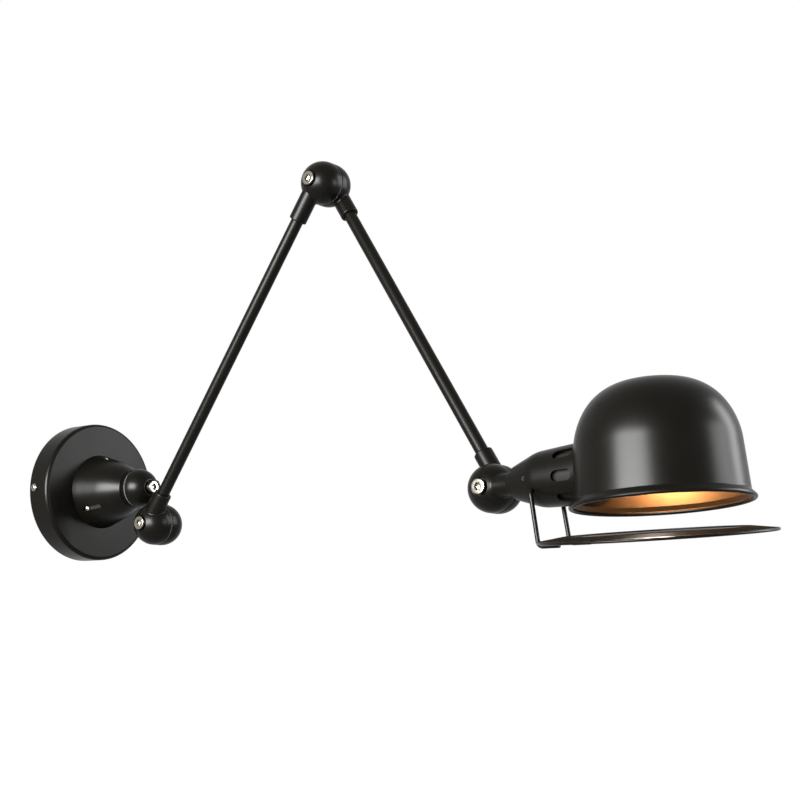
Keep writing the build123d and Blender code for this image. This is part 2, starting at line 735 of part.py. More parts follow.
with BuildPart() as lower_arm_tube:
    arm_tube(shoulder, lower_direction, -1, lower_arm_length)
lower_arm_tube.part.label = "lower_arm_tube"
export_step(lower_arm_tube.part, "parts/lower_arm_tube.step")

with BuildPart() as elbow_inner_half:
    half_ball(elbow, -1)
    socket(elbow, -1, -lower_direction)
    hollow(elbow, -1)
    socket_bore(elbow, -1, -lower_direction)
    head_seat(elbow)
elbow_inner_half.part.label = "elbow_inner_half"
export_step(elbow_inner_half.part, "parts/elbow_inner_half.step")

# Upper arm: far half of the elbow with its socket, the tube, and the wrist's far half
with BuildPart() as elbow_outer_half:
    half_ball(elbow, 1)
    socket(elbow, 1, upper_direction)
    hollow(elbow, 1)
    socket_bore(elbow, 1, upper_direction)
    nut_seat(elbow)
elbow_outer_half.part.label = "elbow_outer_half"
export_step(elbow_outer_half.part, "parts/elbow_outer_half.step")

with BuildPart() as upper_arm_tube:
    arm_tube(elbow, upper_direction, 1, upper_arm_length)
upper_arm_tube.part.label = "upper_arm_tube"
export_step(upper_arm_tube.part, "parts/upper_arm_tube.step")

with BuildPart() as wrist_outer_half:
    half_ball(wrist, 1)
    socket(wrist, 1, -upper_direction)
    hollow(wrist, 1)
    socket_bore(wrist, 1, -upper_direction)
    nut_seat(wrist)
wrist_outer_half.part.label = "wrist_outer_half"
export_step(wrist_outer_half.part, "parts/wrist_outer_half.step")

# Bolts, nuts and friction rings of the three arm pivots
for name, centre in (("shoulder", shoulder), ("elbow", elbow), ("wrist", wrist)):
    with BuildPart() as bolt:
        pivot_bolt(centre)
    bolt.part.label = name + "_bolt"
    export_step(bolt.part, "parts/" + name + "_bolt.step")
    with BuildPart() as bolt_nut:
        nut(side_plane(centre, 1, nut_floor), nut_width, nut_height, bolt_radius + running_fit)
    bolt_nut.part.label = name + "_nut"
    export_step(bolt_nut.part, "parts/" + name + "_nut.step")
    with BuildPart() as washer:
        friction_ring(centre)
    washer.part.label = name + "_friction_ring"
    export_step(washer.part, "parts/" + name + "_friction_ring.step")

# Wrist inner half: near half of the wrist with the neck that carries the head
with BuildPart() as wrist_inner_half:
    half_ball(wrist, -1)
    revolve_outline(head_section, head_axis,
                    [(0, cavity_inner_radius), (neck_root_radius, cavity_inner_radius),
                     (neck_root_radius, neck_root_at), (neck_radius, neck_full_at),
                     (neck_radius, neck_end), (0, neck_end)])
    hollow(wrist, -1)
    bar(Plane(origin=head_origin + head_direction * (cavity_inner_radius + wire_duct_set_back),
              z_dir=head_direction), nipple_radius - nipple_wall, neck_end, Mode.SUBTRACT)
    bar(Plane(origin=head_origin + head_direction * nipple_start, z_dir=head_direction),
        nipple_radius + seat_fit, neck_end, Mode.SUBTRACT)
    head_seat(wrist)
wrist_inner_half.part.label = "wrist_inner_half"
export_step(wrist_inner_half.part, "parts/wrist_inner_half.step")

# Lampholder cover: solid nose on the neck, hollow bell, vent slots, mouth trimmed to the dome
vent_middle = (cover_slot_start + cover_slot_end) / 2
bell_floor_radius = cover_knee_radius - cover_wall - cover_floor_step
with BuildPart() as lampholder_cover:
    with BuildSketch(head_section):
        with BuildLine():
            Polyline((0, cover_start), (cover_start_radius, cover_start),
                     (cover_knee_radius, cover_knee_at), (cover_mouth_radius, cover_mouth_at),
                     (0, cover_mouth_at), close=True)
        make_face()
        outer_knee = vertices().sort_by_distance((cover_knee_radius, cover_knee_at))[0]
        fillet(outer_knee, cover_knee_rounding)
        nose_edge = vertices().sort_by_distance((cover_start_radius, cover_start))[0]
        fillet(nose_edge, cover_nose_edge)
    revolve(axis=head_axis)
    with BuildSketch(head_section):
        with BuildLine():
            Polyline((0, cover_nose_end), (bell_floor_radius, cover_nose_end),
                     (cover_knee_radius - cover_wall, cover_nose_end + cover_floor_rise),
                     (cover_mouth_radius - cover_wall, cover_mouth_at), (0, cover_mouth_at),
                     close=True)
        make_face()
    revolve(axis=head_axis, mode=Mode.SUBTRACT)
    bar(Plane(origin=head_origin, z_dir=head_direction), neck_radius + seat_fit, cover_mouth_at,
        Mode.SUBTRACT)
    dome_block(0, Mode.SUBTRACT)
    for index in range(cover_slot_count):
        turn = radians(index * 360 / cover_slot_count + cover_slot_turn)
        outward = across * cos(turn) + head_up * sin(turn)
        vent_plane = Plane(origin=head_origin + head_direction * vent_middle,
                           x_dir=head_direction, z_dir=outward)
        with BuildSketch(vent_plane):
            SlotOverall(cover_slot_end - cover_slot_start, cover_slot_width)
        extrude(amount=cover_mouth_radius * 2, mode=Mode.SUBTRACT)
    bar(Plane(origin=leg_pivot, z_dir=across), leg_radius + running_fit, cover_mouth_radius * 2,
        Mode.SUBTRACT)
    bar(Plane(origin=leg_pivot, z_dir=-across), leg_radius + running_fit, cover_mouth_radius * 2,
        Mode.SUBTRACT)
    bar(grub_plane, grub_screw_radius + seat_fit, cover_mouth_radius * 2, Mode.SUBTRACT)
lampholder_cover.part.label = "lampholder_cover"
export_step(lampholder_cover.part, "parts/lampholder_cover.step")

# Grub screw: it holds the cover on the neck, its socket just below the cover's surface
grub_slope = (cover_knee_radius - cover_start_radius) / (cover_knee_at - cover_start)
grub_top = cover_start_radius + (grub_screw_at - cover_start) * grub_slope - grub_screw_radius / 2
with BuildPart() as cover_grub_screw:
    bar(grub_plane.offset(neck_radius), grub_screw_radius, grub_top - neck_radius)
    hex_bar(grub_plane.offset(grub_top - grub_hex_width), grub_hex_width, grub_hex_width,
            Mode.SUBTRACT)
cover_grub_screw.part.label = "cover_grub_screw"
export_step(cover_grub_screw.part, "parts/cover_grub_screw.step")

# Lampholder: threaded tube from the neck, insulating cup, screw shell and centre contact
with BuildPart() as holder_nipple:
    ring(Plane(origin=head_origin + head_direction * nipple_start, z_dir=head_direction),
         nipple_radius, nipple_radius - nipple_wall, nipple_end - nipple_start)
holder_nipple.part.label = "holder_nipple"
export_step(holder_nipple.part, "parts/holder_nipple.step")

bore_radius = holder_radius - holder_wall
with BuildPart() as lampholder_insulator:
    revolve_outline(head_section, head_axis,
                    [(nipple_radius + seat_fit, holder_start), (holder_radius, holder_start),
                     (holder_radius, holder_end), (bore_radius, holder_end),
                     (bore_radius, holder_start + holder_floor),
                     (nipple_radius + seat_fit, holder_start + holder_floor)])
lampholder_insulator.part.label = "lampholder_insulator"
export_step(lampholder_insulator.part, "parts/lampholder_insulator.step")

shell_radius = bore_radius - seat_fit
with BuildPart() as lampholder_shell:
    revolve_outline(head_section, head_axis,
                    [(shell_radius, shell_start), (shell_radius, holder_end - 1),
                     (shell_radius - shell_wall, holder_end - 1),
                     (shell_radius - shell_wall, shell_start + shell_wall),
                     (contact_radius + 2, shell_start + shell_wall),
                     (contact_radius + 2, shell_start)])
lampholder_shell.part.label = "lampholder_shell"
export_step(lampholder_shell.part, "parts/lampholder_shell.step")

with BuildPart() as lampholder_contact:
    contact_plane = Plane(origin=head_origin + head_direction * (holder_start + holder_floor),
                          z_dir=head_direction)
    bar(contact_plane, contact_radius, contact_height)
    fillet(edges().sort_by(head_axis)[-1], contact_height / 2)
lampholder_contact.part.label = "lampholder_contact"
export_step(lampholder_contact.part, "parts/lampholder_contact.step")

# Clamp ring: screwed on the lampholder inside the shade, its back shaped to the dome's wall
with BuildPart() as shade_clamp_ring:
    ring(Plane(origin=head_origin + head_direction * holder_start, z_dir=head_direction),
         clamp_ring_radius, holder_radius + seat_fit, clamp_ring_front - holder_start)
    dome_block(-shade_thickness, Mode.INTERSECT)
shade_clamp_ring.part.label = "shade_clamp_ring"
export_step(shade_clamp_ring.part, "parts/shade_clamp_ring.step")

# Standard screw lamp: its cap and its glass globe
with BuildPart() as bulb_cap:
    revolve_outline(head_section, head_axis,
                    [(0, lamp_cap_start - lamp_contact_height),
                     (lamp_contact_radius, lamp_cap_start - lamp_contact_height),
                     (lamp_contact_radius, lamp_cap_start),
                     (lamp_cap_nose_radius, lamp_cap_start + lamp_cap_nose_length),
                     (lamp_cap_radius, lamp_cap_start + lamp_cap_nose_length + lamp_cap_taper),
                     (lamp_cap_radius, lamp_cap_end), (0, lamp_cap_end)])
bulb_cap.part.label = "bulb_cap"
export_step(bulb_cap.part, "parts/bulb_cap.step")

with BuildPart() as bulb_glass:
    lamp_globe(0, Mode.ADD)
    lamp_globe(lamp_wall, Mode.SUBTRACT)
bulb_glass.part.label = "bulb_glass"
export_step(bulb_glass.part, "parts/bulb_glass.step")

# Shade: a spun dome with a flared, rolled rim and a round hole for the lampholder
with BuildPart() as shade:
    with BuildSketch(shade_section):
        with BuildLine():
            rim_outer = (shade_rim_radius - shade_rim_overhang, shade_rim_bead)
            rim_inner = (rim_outer[0] - shade_thickness, shade_rim_bead)
            outer_foot, outer_top = dome_curve(0, shade_rim_crease)
            inner_foot, inner_top = dome_curve(-shade_thickness, shade_rim_crease)
            Line(outer_top, inner_top)
            Polyline(outer_foot, rim_outer, rim_inner, inner_foot)
        make_face()
        with Locations((shade_rim_radius - shade_rim_bead, shade_rim_bead)):
            Circle(shade_rim_bead)
    revolve(axis=shade_axis)
    bar(Plane(origin=head_origin, z_dir=head_direction), holder_radius + seat_fit, shade_reach,
        Mode.SUBTRACT)
shade.part.label = "shade"
export_step(shade.part, "parts/shade.step")

# Guard ring: a sloping band, skewed a little about the lamp's reach as in the photograph
guard_rise = guard_width * sin(radians(guard_slope))
guard_inner = guard_radius - guard_width * cos(radians(guard_slope))
with BuildPart() as guard_ring:
    revolve_outline(guard_section, guard_axis,
                    [(guard_radius, 0), (guard_inner, guard_rise),
                     (guard_inner, guard_rise - guard_thickness),
                     (guard_radius, -guard_thickness)])
guard_ring.part.label = "guard_ring"
export_step(guard_ring.part, "parts/guard_ring.step")

# Guard legs: bent wires with a pin in the cover's side, a drop behind the ring's rear edge and a
# foot under the band
ring_edge_reach = guard_reach - sqrt(guard_radius ** 2 - leg_spread ** 2)
knee_reach = ring_edge_reach - leg_behind_ring
for name, side in (("near", -1), ("far", 1)):
    leg_x = leg_pivot.X + side * leg_spread
    foot_lift = side * leg_spread * tan(radians(guard_skew))
    foot_z = guard_centre.Z - guard_thickness - leg_radius - seat_fit + foot_lift
    pin = Vector(leg_pivot.X + side * leg_pin_start, leg_pivot.Y, leg_pivot.Z)
    top_bend = Vector(leg_x, leg_pivot.Y, leg_pivot.Z)
    foot_bend = Vector(leg_x, wrist.Y - knee_reach, foot_z)
    toe = Vector(leg_x, wrist.Y - knee_reach - leg_foot_length, foot_z)
    with BuildPart() as guard_leg:
        with BuildLine():
            FilletPolyline(pin, top_bend, foot_bend, toe, radius=leg_bend_radius)
        with BuildSketch(Plane(origin=pin, z_dir=(side, 0, 0))):
            Circle(leg_radius)
        sweep()
    guard_leg.part.label = "guard_leg_" + name
    export_step(guard_leg.part, "parts/guard_leg_" + name + ".step")
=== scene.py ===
import json

import bmesh
import bpy
import numpy as np
from mathutils import Matrix, Vector


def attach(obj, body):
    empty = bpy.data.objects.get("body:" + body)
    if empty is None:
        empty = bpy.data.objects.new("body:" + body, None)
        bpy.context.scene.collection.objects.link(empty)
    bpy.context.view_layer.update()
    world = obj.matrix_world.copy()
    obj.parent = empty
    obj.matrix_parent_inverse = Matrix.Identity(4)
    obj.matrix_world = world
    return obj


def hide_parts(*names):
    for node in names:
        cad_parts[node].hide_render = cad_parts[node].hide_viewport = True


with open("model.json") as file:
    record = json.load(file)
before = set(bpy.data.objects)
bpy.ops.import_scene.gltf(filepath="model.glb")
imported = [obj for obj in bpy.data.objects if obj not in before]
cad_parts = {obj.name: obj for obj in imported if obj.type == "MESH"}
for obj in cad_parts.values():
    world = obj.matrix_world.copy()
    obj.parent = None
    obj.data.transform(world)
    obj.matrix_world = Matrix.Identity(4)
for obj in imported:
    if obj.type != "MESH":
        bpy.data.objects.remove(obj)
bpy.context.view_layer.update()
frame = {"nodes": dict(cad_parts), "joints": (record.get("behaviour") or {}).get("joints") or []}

# Sizes in metres: the solids' own, or a later fit of the photograph. The hub's shoulder, the lamp's
# globe and the guard ring's slope are chosen for the look and differ from the solids and the fit.
MM = 0.001
MERGE_DISTANCE = 1e-7
RIM_SEGMENTS = 224
X, Y, Z = np.eye(3)
joint_at = {joint["name"]: np.array(joint["pos_m"]) for joint in frame["joints"]}
SHOULDER = joint_at["shoulder"]
ELBOW = joint_at["elbow"]
WRIST = joint_at["wrist"]
LEG_PIVOT = joint_at["guard_hinge"]
LOWER_ARM = ELBOW - SHOULDER
UPPER_ARM = WRIST - ELBOW
ARM_OFFSET = 10.75 * MM

CANOPY_RADIUS, CANOPY_DEPTH, CANOPY_WALL, CANOPY_EDGE = 60 * MM, 22.3 * MM, 1.2 * MM, 3.2 * MM
CANOPY_HOLE_RADIUS = 15 * MM
SIDE_SCREW_AT, SIDE_SCREW_RADIUS, SIDE_SCREW_SHANK = 6.8 * MM, 3.3 * MM, 2.0 * MM
HUB_ROOT_RADIUS, HUB_SHOULDER_RADIUS, HUB_SHOULDER_AT = 32.2 * MM, 25.8 * MM, 43.0 * MM
HUB_NOSE_RADIUS, HUB_WALL, HUB_NOSE, HUB_NOSE_WALL = 16.3 * MM, 2.4 * MM, 63.0 * MM, 3.0 * MM
HUB_SLOT_START, HUB_SLOT_END, HUB_SLOT_WIDTH = 28.5 * MM, 47.0 * MM, 5.2 * MM
HUB_SLOT_TURN, HUB_SCREW_AT, HUB_LIP_AT = np.radians(-7.0), 31.3 * MM, 64.2 * MM
HUB_SCREW_RADIUS, HUB_SCREW_SHANK, HUB_SCREW_SINK = 2.1 * MM, 1.4 * MM, 0.15 * MM
HUB_SIDE_SLOPE, HUB_STEM_HOLE = 0.31, 8.05 * MM
BASE_BALL_RADIUS, BASE_BALL_AT = 16.8 * MM, 71.0 * MM
STEM_RADIUS, STEM_LENGTH = 8 * MM, 15 * MM
BASE_RECESS_FLOOR, BASE_RECESS_RADIUS = 84.0 * MM, 6.2 * MM
BASE_HEAD_TOP, BASE_HEAD_RADIUS, BASE_BOLT_END = 90.8 * MM, 5.1 * MM, 58.5 * MM
BALL_RADIUS, BALL_BARREL, HALF_SEAM = 17.5 * MM, 3.8 * MM, 0.5 * MM
BOLT_RADIUS, BOLT_HEAD_RADIUS, BOLT_HEAD_HEIGHT = 3.0 * MM, 5.5 * MM, 5.0 * MM
BOLT_HEAD_TOP, BOLT_END = 22.3 * MM, 19.5 * MM
HEX_SOCKET_FLATS, HEX_SOCKET_DEPTH = 5.0 * MM, 2.6 * MM
COUNTERBORE_RADIUS = 6.4 * MM
NUT_FLATS, NUT_FLOOR = 10.0 * MM, 13.5 * MM
TUBE_RADIUS, TUBE_BORE = 5.0 * MM, 4.0 * MM
SOCKET_RADIUS, SOCKET_FLOOR, SOCKET_FILLET = 7.2 * MM, 18.5 * MM, 1.6 * MM
KNUCKLE_NECK_RADIUS, KNUCKLE_FILLET, KNUCKLE_NECK_SIDE = 8.0 * MM, 2.5 * MM, 9 * MM
KNUCKLE_NECK_FROM = np.array([9.0, -80.0, -4.0]) * MM

HEAD_PITCH = np.radians(3.4)
HEAD_ALONG = np.array([0, -np.cos(HEAD_PITCH), np.sin(HEAD_PITCH)])
HEAD_UP = np.array([0, np.sin(HEAD_PITCH), np.cos(HEAD_PITCH)])
HEAD = WRIST + np.array([-ARM_OFFSET, 0, -0.3 * MM])
NECK_ROOT_RADIUS, NECK_ROOT_AT = 8.2 * MM, 17.0 * MM
NECK_RADIUS, NECK_FULL_AT, NECK_END, NECK_FILLET = 10.0 * MM, 25.0 * MM, 44 * MM, 3.0 * MM
COVER_START, COVER_START_RADIUS = 26.0 * MM, 12.0 * MM
COVER_KNEE_AT, COVER_KNEE_RADIUS, COVER_KNEE_ROUNDING = 46.5 * MM, 19.3 * MM, 28 * MM
COVER_MOUTH_AT, COVER_MOUTH_RADIUS = 88.0 * MM, 21.8 * MM
COVER_WALL, COVER_NOSE_END = 1.5 * MM, 42.0 * MM
COVER_SLOTS, COVER_SLOT_WIDTH, COVER_SLOT_TURN = 8, 7.6 * MM, np.radians(6.0)
COVER_SLOT_START, COVER_SLOT_END = 65.0 * MM, 81.0 * MM
GRUB_AT, GRUB_RADIUS, GRUB_SOCKET_FLATS = 41.5 * MM, 1.6 * MM, 1.7 * MM
GRUB_OUTER_END, GRUB_SOCKET_FLOOR, GRUB_INNER_END = 16.5 * MM, 15.2 * MM, 10 * MM

SHADE_AT, SHADE_DROP = 135 * MM, 27.7 * MM
SHADE_BASE = HEAD + HEAD_ALONG * SHADE_AT - HEAD_UP * SHADE_DROP
SHADE_WALL_RADIUS, SHADE_WALL_HEIGHT = 57.1 * MM, 38.6 * MM
SHADE_WALL_LEAN, SHADE_HEIGHT = np.radians(4.0), 82.1 * MM
SHADE_SHOULDER_RADIUS, SHADE_SHOULDER_TURN = 52.9 * MM, np.radians(29.7)
SHADE_CROWN_RADIUS = 200.0 * MM
SHADE_THICKNESS, SHADE_RIM_RADIUS = 1.0 * MM, 60.1 * MM
SHADE_RIM_BEAD, SHADE_RIM_CREASE = 1.5 * MM, 5.6 * MM
LAMP_RADIUS, LAMP_CENTRE, LAMP_START = 16.0 * MM, 123.0 * MM, 88 * MM

GUARD_SKEW, GUARD_SLOPE = np.radians(6.1), np.radians(7.0)
GUARD_CENTRE = WRIST + np.array([-10.75, -131.7, -38.5]) * MM
GUARD_UP = np.array([-np.sin(GUARD_SKEW), 0, np.cos(GUARD_SKEW)])
GUARD_RADIUS, GUARD_WIDTH, GUARD_THICKNESS, GUARD_BEAD = 77.2 * MM, 17.5 * MM, 1.2 * MM, 1.0 * MM
LEG_RADIUS, LEG_SPREAD, LEG_PIN_START = 1.6 * MM, 19.8 * MM, 14.8 * MM
LEG_KNEE_REACH, LEG_TOE_REACH, LEG_BEND = 54.8 * MM, 71.0 * MM, 4.0 * MM


# Outlines: two-column arrays of radius and height along the axis

def rounded(corners, steps=7, closed=False):
    """Polyline with each corner (point, then its radius last) replaced by an arc: for a corner P
    with unit directions a and b towards its neighbours, the arc runs between P + a*t and P + b*t,
    t = radius / tan(half the angle between them), round the centre on their bisector."""
    points = np.array([corner[:-1] for corner in corners], dtype=float)
    radii = [corner[-1] for corner in corners]
    count = len(points)
    made = []
    for index in range(count):
        point, radius = points[index], radii[index]
        if radius <= 0 or (not closed and index in (0, count - 1)):
            made.append(point[None])
            continue
        to_last = points[index - 1] - point
        to_next = points[(index + 1) % count] - point
        to_last /= np.linalg.norm(to_last)
        to_next /= np.linalg.norm(to_next)
        half = np.arccos(np.clip(to_last @ to_next, -1, 1)) / 2
        bisector = to_last + to_next
        bisector /= np.linalg.norm(bisector)
        centre = point + bisector * radius / np.sin(half)
        first = point + to_last * radius / np.tan(half) - centre
        last = point + to_next * radius / np.tan(half) - centre
        made.append(centre + swing(first, last, steps))
    return np.vstack(made)


def swing(first, last, steps):
    """Arc from one radius vector to another: sin((1-t)w)/sin w * first + sin(tw)/sin w * last,
    with w the angle between them and t running from 0 to 1."""
    cosine = (np.sum(first * last, -1) / np.linalg.norm(first, axis=-1)
              / np.linalg.norm(last, axis=-1))
    angle = np.arccos(np.clip(cosine, -1, 1))[..., None]
    share = np.linspace(0, 1, steps).reshape((steps,) + (1,) * first.ndim)
    return (np.sin((1 - share) * angle) * first + np.sin(share * angle) * last) / np.sin(angle)


def smooth_curve(points, count):
    """Catmull-Rom curve through a few points, sampled evenly in its parameter."""
    points = np.array(points, dtype=float)
    ends = np.vstack([2 * points[0] - points[1], points, 2 * points[-1] - points[-2]])
    place = np.linspace(0, len(points) - 1 - 1e-9, count)
    span = place.astype(int)
    t = (place - span)[:, None]
    p0, p1, p2, p3 = (ends[span + step] for step in range(4))
    return 0.5 * (2 * p1 + (p2 - p0) * t + (2 * p0 - 5 * p1 + 4 * p2 - p3) * t ** 2
                  + (3 * p1 - p0 - 3 * p2 + p3) * t ** 3)


def hexagon(flats, turn):
    """Radius of a hexagon at each angle: half the width across flats over the cosine of the angle
    to the nearest flat's middle."""
    sixth = np.pi / 3
    return flats / 2 / np.cos((turn + sixth / 2) % sixth - sixth / 2)


# Meshes

def square_axes(axis):
    """Two unit vectors square to an axis and to each other."""
    axis = axis / np.linalg.norm(axis)
    side = np.cross(axis, Z if abs(axis[2]) < 0.9 else X)
    side /= np.linalg.norm(side)
    return side, np.cross(axis, side)


def turned(outline, origin, axis, segments=144, start=None):
    """Surface of revolution: point(i, turn) = origin + axis * height_i
    + (cos turn * u + sin turn * v) * radius_i, where radius and height may be arrays over turn."""
    axis = axis / np.linalg.norm(axis)
    u, v = square_axes(axis)
    if start is not None:
        u = start - axis * (start @ axis)
        u /= np.linalg.norm(u)
        v = np.cross(axis, u)
    turn = turns(segments)
    ring = np.cos(turn)[:, None] * u + np.sin(turn)[:, None] * v
    rows = []
    for radius, height in outline:
        radius = np.broadcast_to(np.asarray(radius, dtype=float), turn.shape)[:, None]
        height = np.broadcast_to(np.asarray(height, dtype=float), turn.shape)[:, None]
        rows.append(origin + axis * height + ring * radius)
    return np.array(rows)


def turns(segments):
    """Evenly spaced angles round an axis."""
    return np.arange(segments) * 2 * np.pi / segments


def grid_faces(rows, columns, loop_rows, first):
    """Quads between neighbours of a grid that closes on itself across its columns."""
    row = np.arange(rows if loop_rows else rows - 1)[:, None]
    column = np.arange(columns)[None, :]
    next_row, next_column = (row + 1) % rows, (column + 1) % columns
    corners = [row * columns + column, row * columns + next_column,
               next_row * columns + next_column, next_row * columns + column]
    quads = np.stack([np.broadcast_to(corner, (row.size, columns)) for corner in corners], -1)
    return quads.reshape(-1, 4) + first


def make_piece(name, surfaces, body, stands_for, materials, loops=False, paint=None):
    """One object from grids of points, each closed across its columns, with merged doubles."""
    points, faces, first = [], [], 0
    for surface in surfaces:
        rows, columns = surface.shape[:2]
        points.append(surface.reshape(-1, 3))
        faces.append(grid_faces(rows, columns, loops, first))
        first += rows * columns
    points, faces = np.vstack(points), np.vstack(faces)
    mesh = bpy.data.meshes.new(name)
    mesh.from_pydata(points.tolist(), [], faces.tolist())
    if paint is not None:
        mesh.polygons.foreach_set("material_index", paint(len(faces)).astype(np.int32))
    finish_piece(name, mesh, body, stands_for, materials)


def clean(mesh):
    """Merge doubles and turn faces outwards."""
    work = bmesh.new()
    work.from_mesh(mesh)
    bmesh.ops.remove_doubles(work, verts=work.verts, dist=MERGE_DISTANCE)
    bmesh.ops.recalc_face_normals(work, faces=work.faces)
    work.to_mesh(mesh)
    work.free()


def finish_piece(name, mesh, body, stands_for, materials):
    """Clean a mesh, shade it smoothly and hang the piece on its body."""
    clean(mesh)
    mesh.shade_smooth()
    mesh.set_sharp_from_angle(angle=np.radians(40))
    piece = bpy.data.objects.new(name, mesh)
    bpy.context.scene.collection.objects.link(piece)
    for material in materials:
        mesh.materials.append(material)
    weighting = piece.modifiers.new("even shading", "WEIGHTED_NORMAL")
    weighting.keep_sharp = True
    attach(piece, body)
    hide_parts(*stands_for)


# Shapes of this lamp

def half_ball(centre, side, middle_rows):
    """Half ball round a bolt along X: the rows given for its recess, then the sphere
    (radius sin a, barrel + radius cos a) from the recess's rim to the barrel, and the seam face."""
    rim = np.asarray(middle_rows[-1][0])
    steep = np.arcsin(rim / BALL_RADIUS)
    share = np.linspace(0, 1, 22)
    sphere = [(BALL_RADIUS * np.sin(steep + (np.pi / 2 - steep) * s),
               BALL_BARREL + BALL_RADIUS * np.cos(steep + (np.pi / 2 - steep) * s)) for s in share]
    seam = rounded([(BALL_RADIUS, BALL_BARREL, 0), (BALL_RADIUS, HALF_SEAM, 0.35 * MM),
                    (0, HALF_SEAM, 0)], 5)[1:]
    outline = middle_rows + sphere[1:] + [tuple(point) for point in seam]
    return turned(outline, centre, side * X, 128, start=Z)


def counterbore_rows():
    """Round recess of a near half, down to the bolt's seat, with a softened rim."""
    floor = BOLT_HEAD_TOP - BOLT_HEAD_HEIGHT
    rim_radius = COUNTERBORE_RADIUS + 0.45 * MM
    lip = BALL_BARREL + np.sqrt(BALL_RADIUS ** 2 - rim_radius ** 2)
    return [(0, floor), (COUNTERBORE_RADIUS, floor), (COUNTERBORE_RADIUS, lip - 0.5 * MM),
            (COUNTERBORE_RADIUS + 0.12 * MM, lip - 0.1 * MM), (rim_radius, lip)]


def nut_pocket_rows(turn):
    """Hexagonal pocket of a far half, down to the nut's seat, with a softened rim."""
    pocket = hexagon(NUT_FLATS + 0.12 * MM, turn)
    rim_radius = pocket + 0.4 * MM
    lip = BALL_BARREL + np.sqrt(BALL_RADIUS ** 2 - rim_radius ** 2)
    return [(0, NUT_FLOOR), (pocket, NUT_FLOOR), (pocket, lip - 0.5 * MM),
            (pocket + 0.1 * MM, lip - 0.1 * MM), (rim_radius, lip)]


def rolling_fillet(centre, side, foot, direction, radius, fillet, turn, steps=9):
    """Fillet between a half ball and a round bar. A ball of the fillet's radius rolls in the
    corner: its centre lies radius + fillet from the bar's axis and ball radius + fillet from the
    nearest point of the half ball's own axis; the arc joins its two points of contact.
    Returns the rows of the arc and the bar's outward directions."""
    u, v = square_axes(direction)
    outward = np.cos(turn)[:, None] * u + np.sin(turn)[:, None] * v
    around = foot + outward * (radius + fillet)
    reach_across = side * (around - centre)[:, 0]
    core = centre + side * X * np.clip(reach_across, HALF_SEAM, BALL_BARREL)[:, None]
    gap = around - core
    along = gap @ direction
    square = (gap ** 2).sum(1) - (BALL_RADIUS + fillet) ** 2
    slide = -along + np.sqrt(np.maximum(along ** 2 - square, 0))
    rolling = around + direction * slide[:, None]
    to_ball = (core - rolling) / np.linalg.norm(core - rolling, axis=1)[:, None]
    arc = rolling + swing(to_ball * fillet, -outward * fillet, steps)
    return arc, outward


def bar_with_foot(centre, side, foot, direction, radius, fillet, rows, turn):
    """Bar that grows out of a half ball through a rolling fillet: a point inside the ball, the
    fillet, then rings (radius, distance along the bar) up to its end."""
    arc, outward = rolling_fillet(centre, side, foot, direction, radius, fillet, turn)
    root = np.broadcast_to(foot, arc[:1].shape)
    sunk = arc[:1] * 0.85 + root * 0.15
    rings = [foot + direction * along + outward * ring for ring, along in rows]
    return np.concatenate([root, sunk, arc, np.array(rings)])


def socket_rows(reach):
    """Socket beyond its fillet: straight wall, softened end and the mouth round the tube."""
    mouth = rounded([(SOCKET_RADIUS, reach - 4 * MM, 0), (SOCKET_RADIUS, reach, 1.1 * MM),
                     (TUBE_RADIUS + 0.15 * MM, reach, 0.25 * MM),
                     (TUBE_RADIUS + 0.15 * MM, reach - 2 * MM, 0), (0, reach - 2 * MM, 0)], 6)
    return [tuple(row) for row in mouth]


def arm_socket(centre, side, direction, reach):
    """Socket of an arm tube on a half ball."""
    foot = centre + side * X * ARM_OFFSET
    return bar_with_foot(centre, side, foot, direction, SOCKET_RADIUS, SOCKET_FILLET,
                         socket_rows(reach), turns(96))


def socket_bolt_rows(top, radius, flat, seat, end):
    """Socket-head bolt from its hexagonal socket, over the head's flat ring and edge to its seat
    and the shank's end."""
    socket = hexagon(HEX_SOCKET_FLATS, turns(96))
    rows = [(0, top - HEX_SOCKET_DEPTH - 0.6 * MM), (socket * 0.96, top - HEX_SOCKET_DEPTH),
            (socket, top - HEX_SOCKET_DEPTH + 0.1 * MM), (socket, top - 0.3 * MM),
            (socket + 0.28 * MM, top)]
    return rows + [tuple(row) for row in rounded([
        (radius - flat, top, 0), (radius, top, 0.6 * MM), (radius, seat, 0.2 * MM),
        (BOLT_RADIUS, seat, 0), (BOLT_RADIUS, end, 0.4 * MM), (0, end, 0)], 5)]


def bolt_surface(centre):
    """Socket-head bolt of an arm's pivot."""
    rows = socket_bolt_rows(BOLT_HEAD_TOP, BOLT_HEAD_RADIUS, 1.6 * MM,
                            BOLT_HEAD_TOP - BOLT_HEAD_HEIGHT, -BOLT_END)
    return turned(rows, centre, -X, 96, start=Z)


def tube_surface(start, end, inset):
    """Arm tube between two sockets, as a closed wall."""
    along = (end - start) / np.linalg.norm(end - start)
    length = np.linalg.norm(end - start) - 2 * inset
    outline = [(TUBE_RADIUS, 0), (TUBE_RADIUS, length), (TUBE_BORE, length), (TUBE_BORE, 0)]
    return turned(outline, start + along * inset, along, 64)


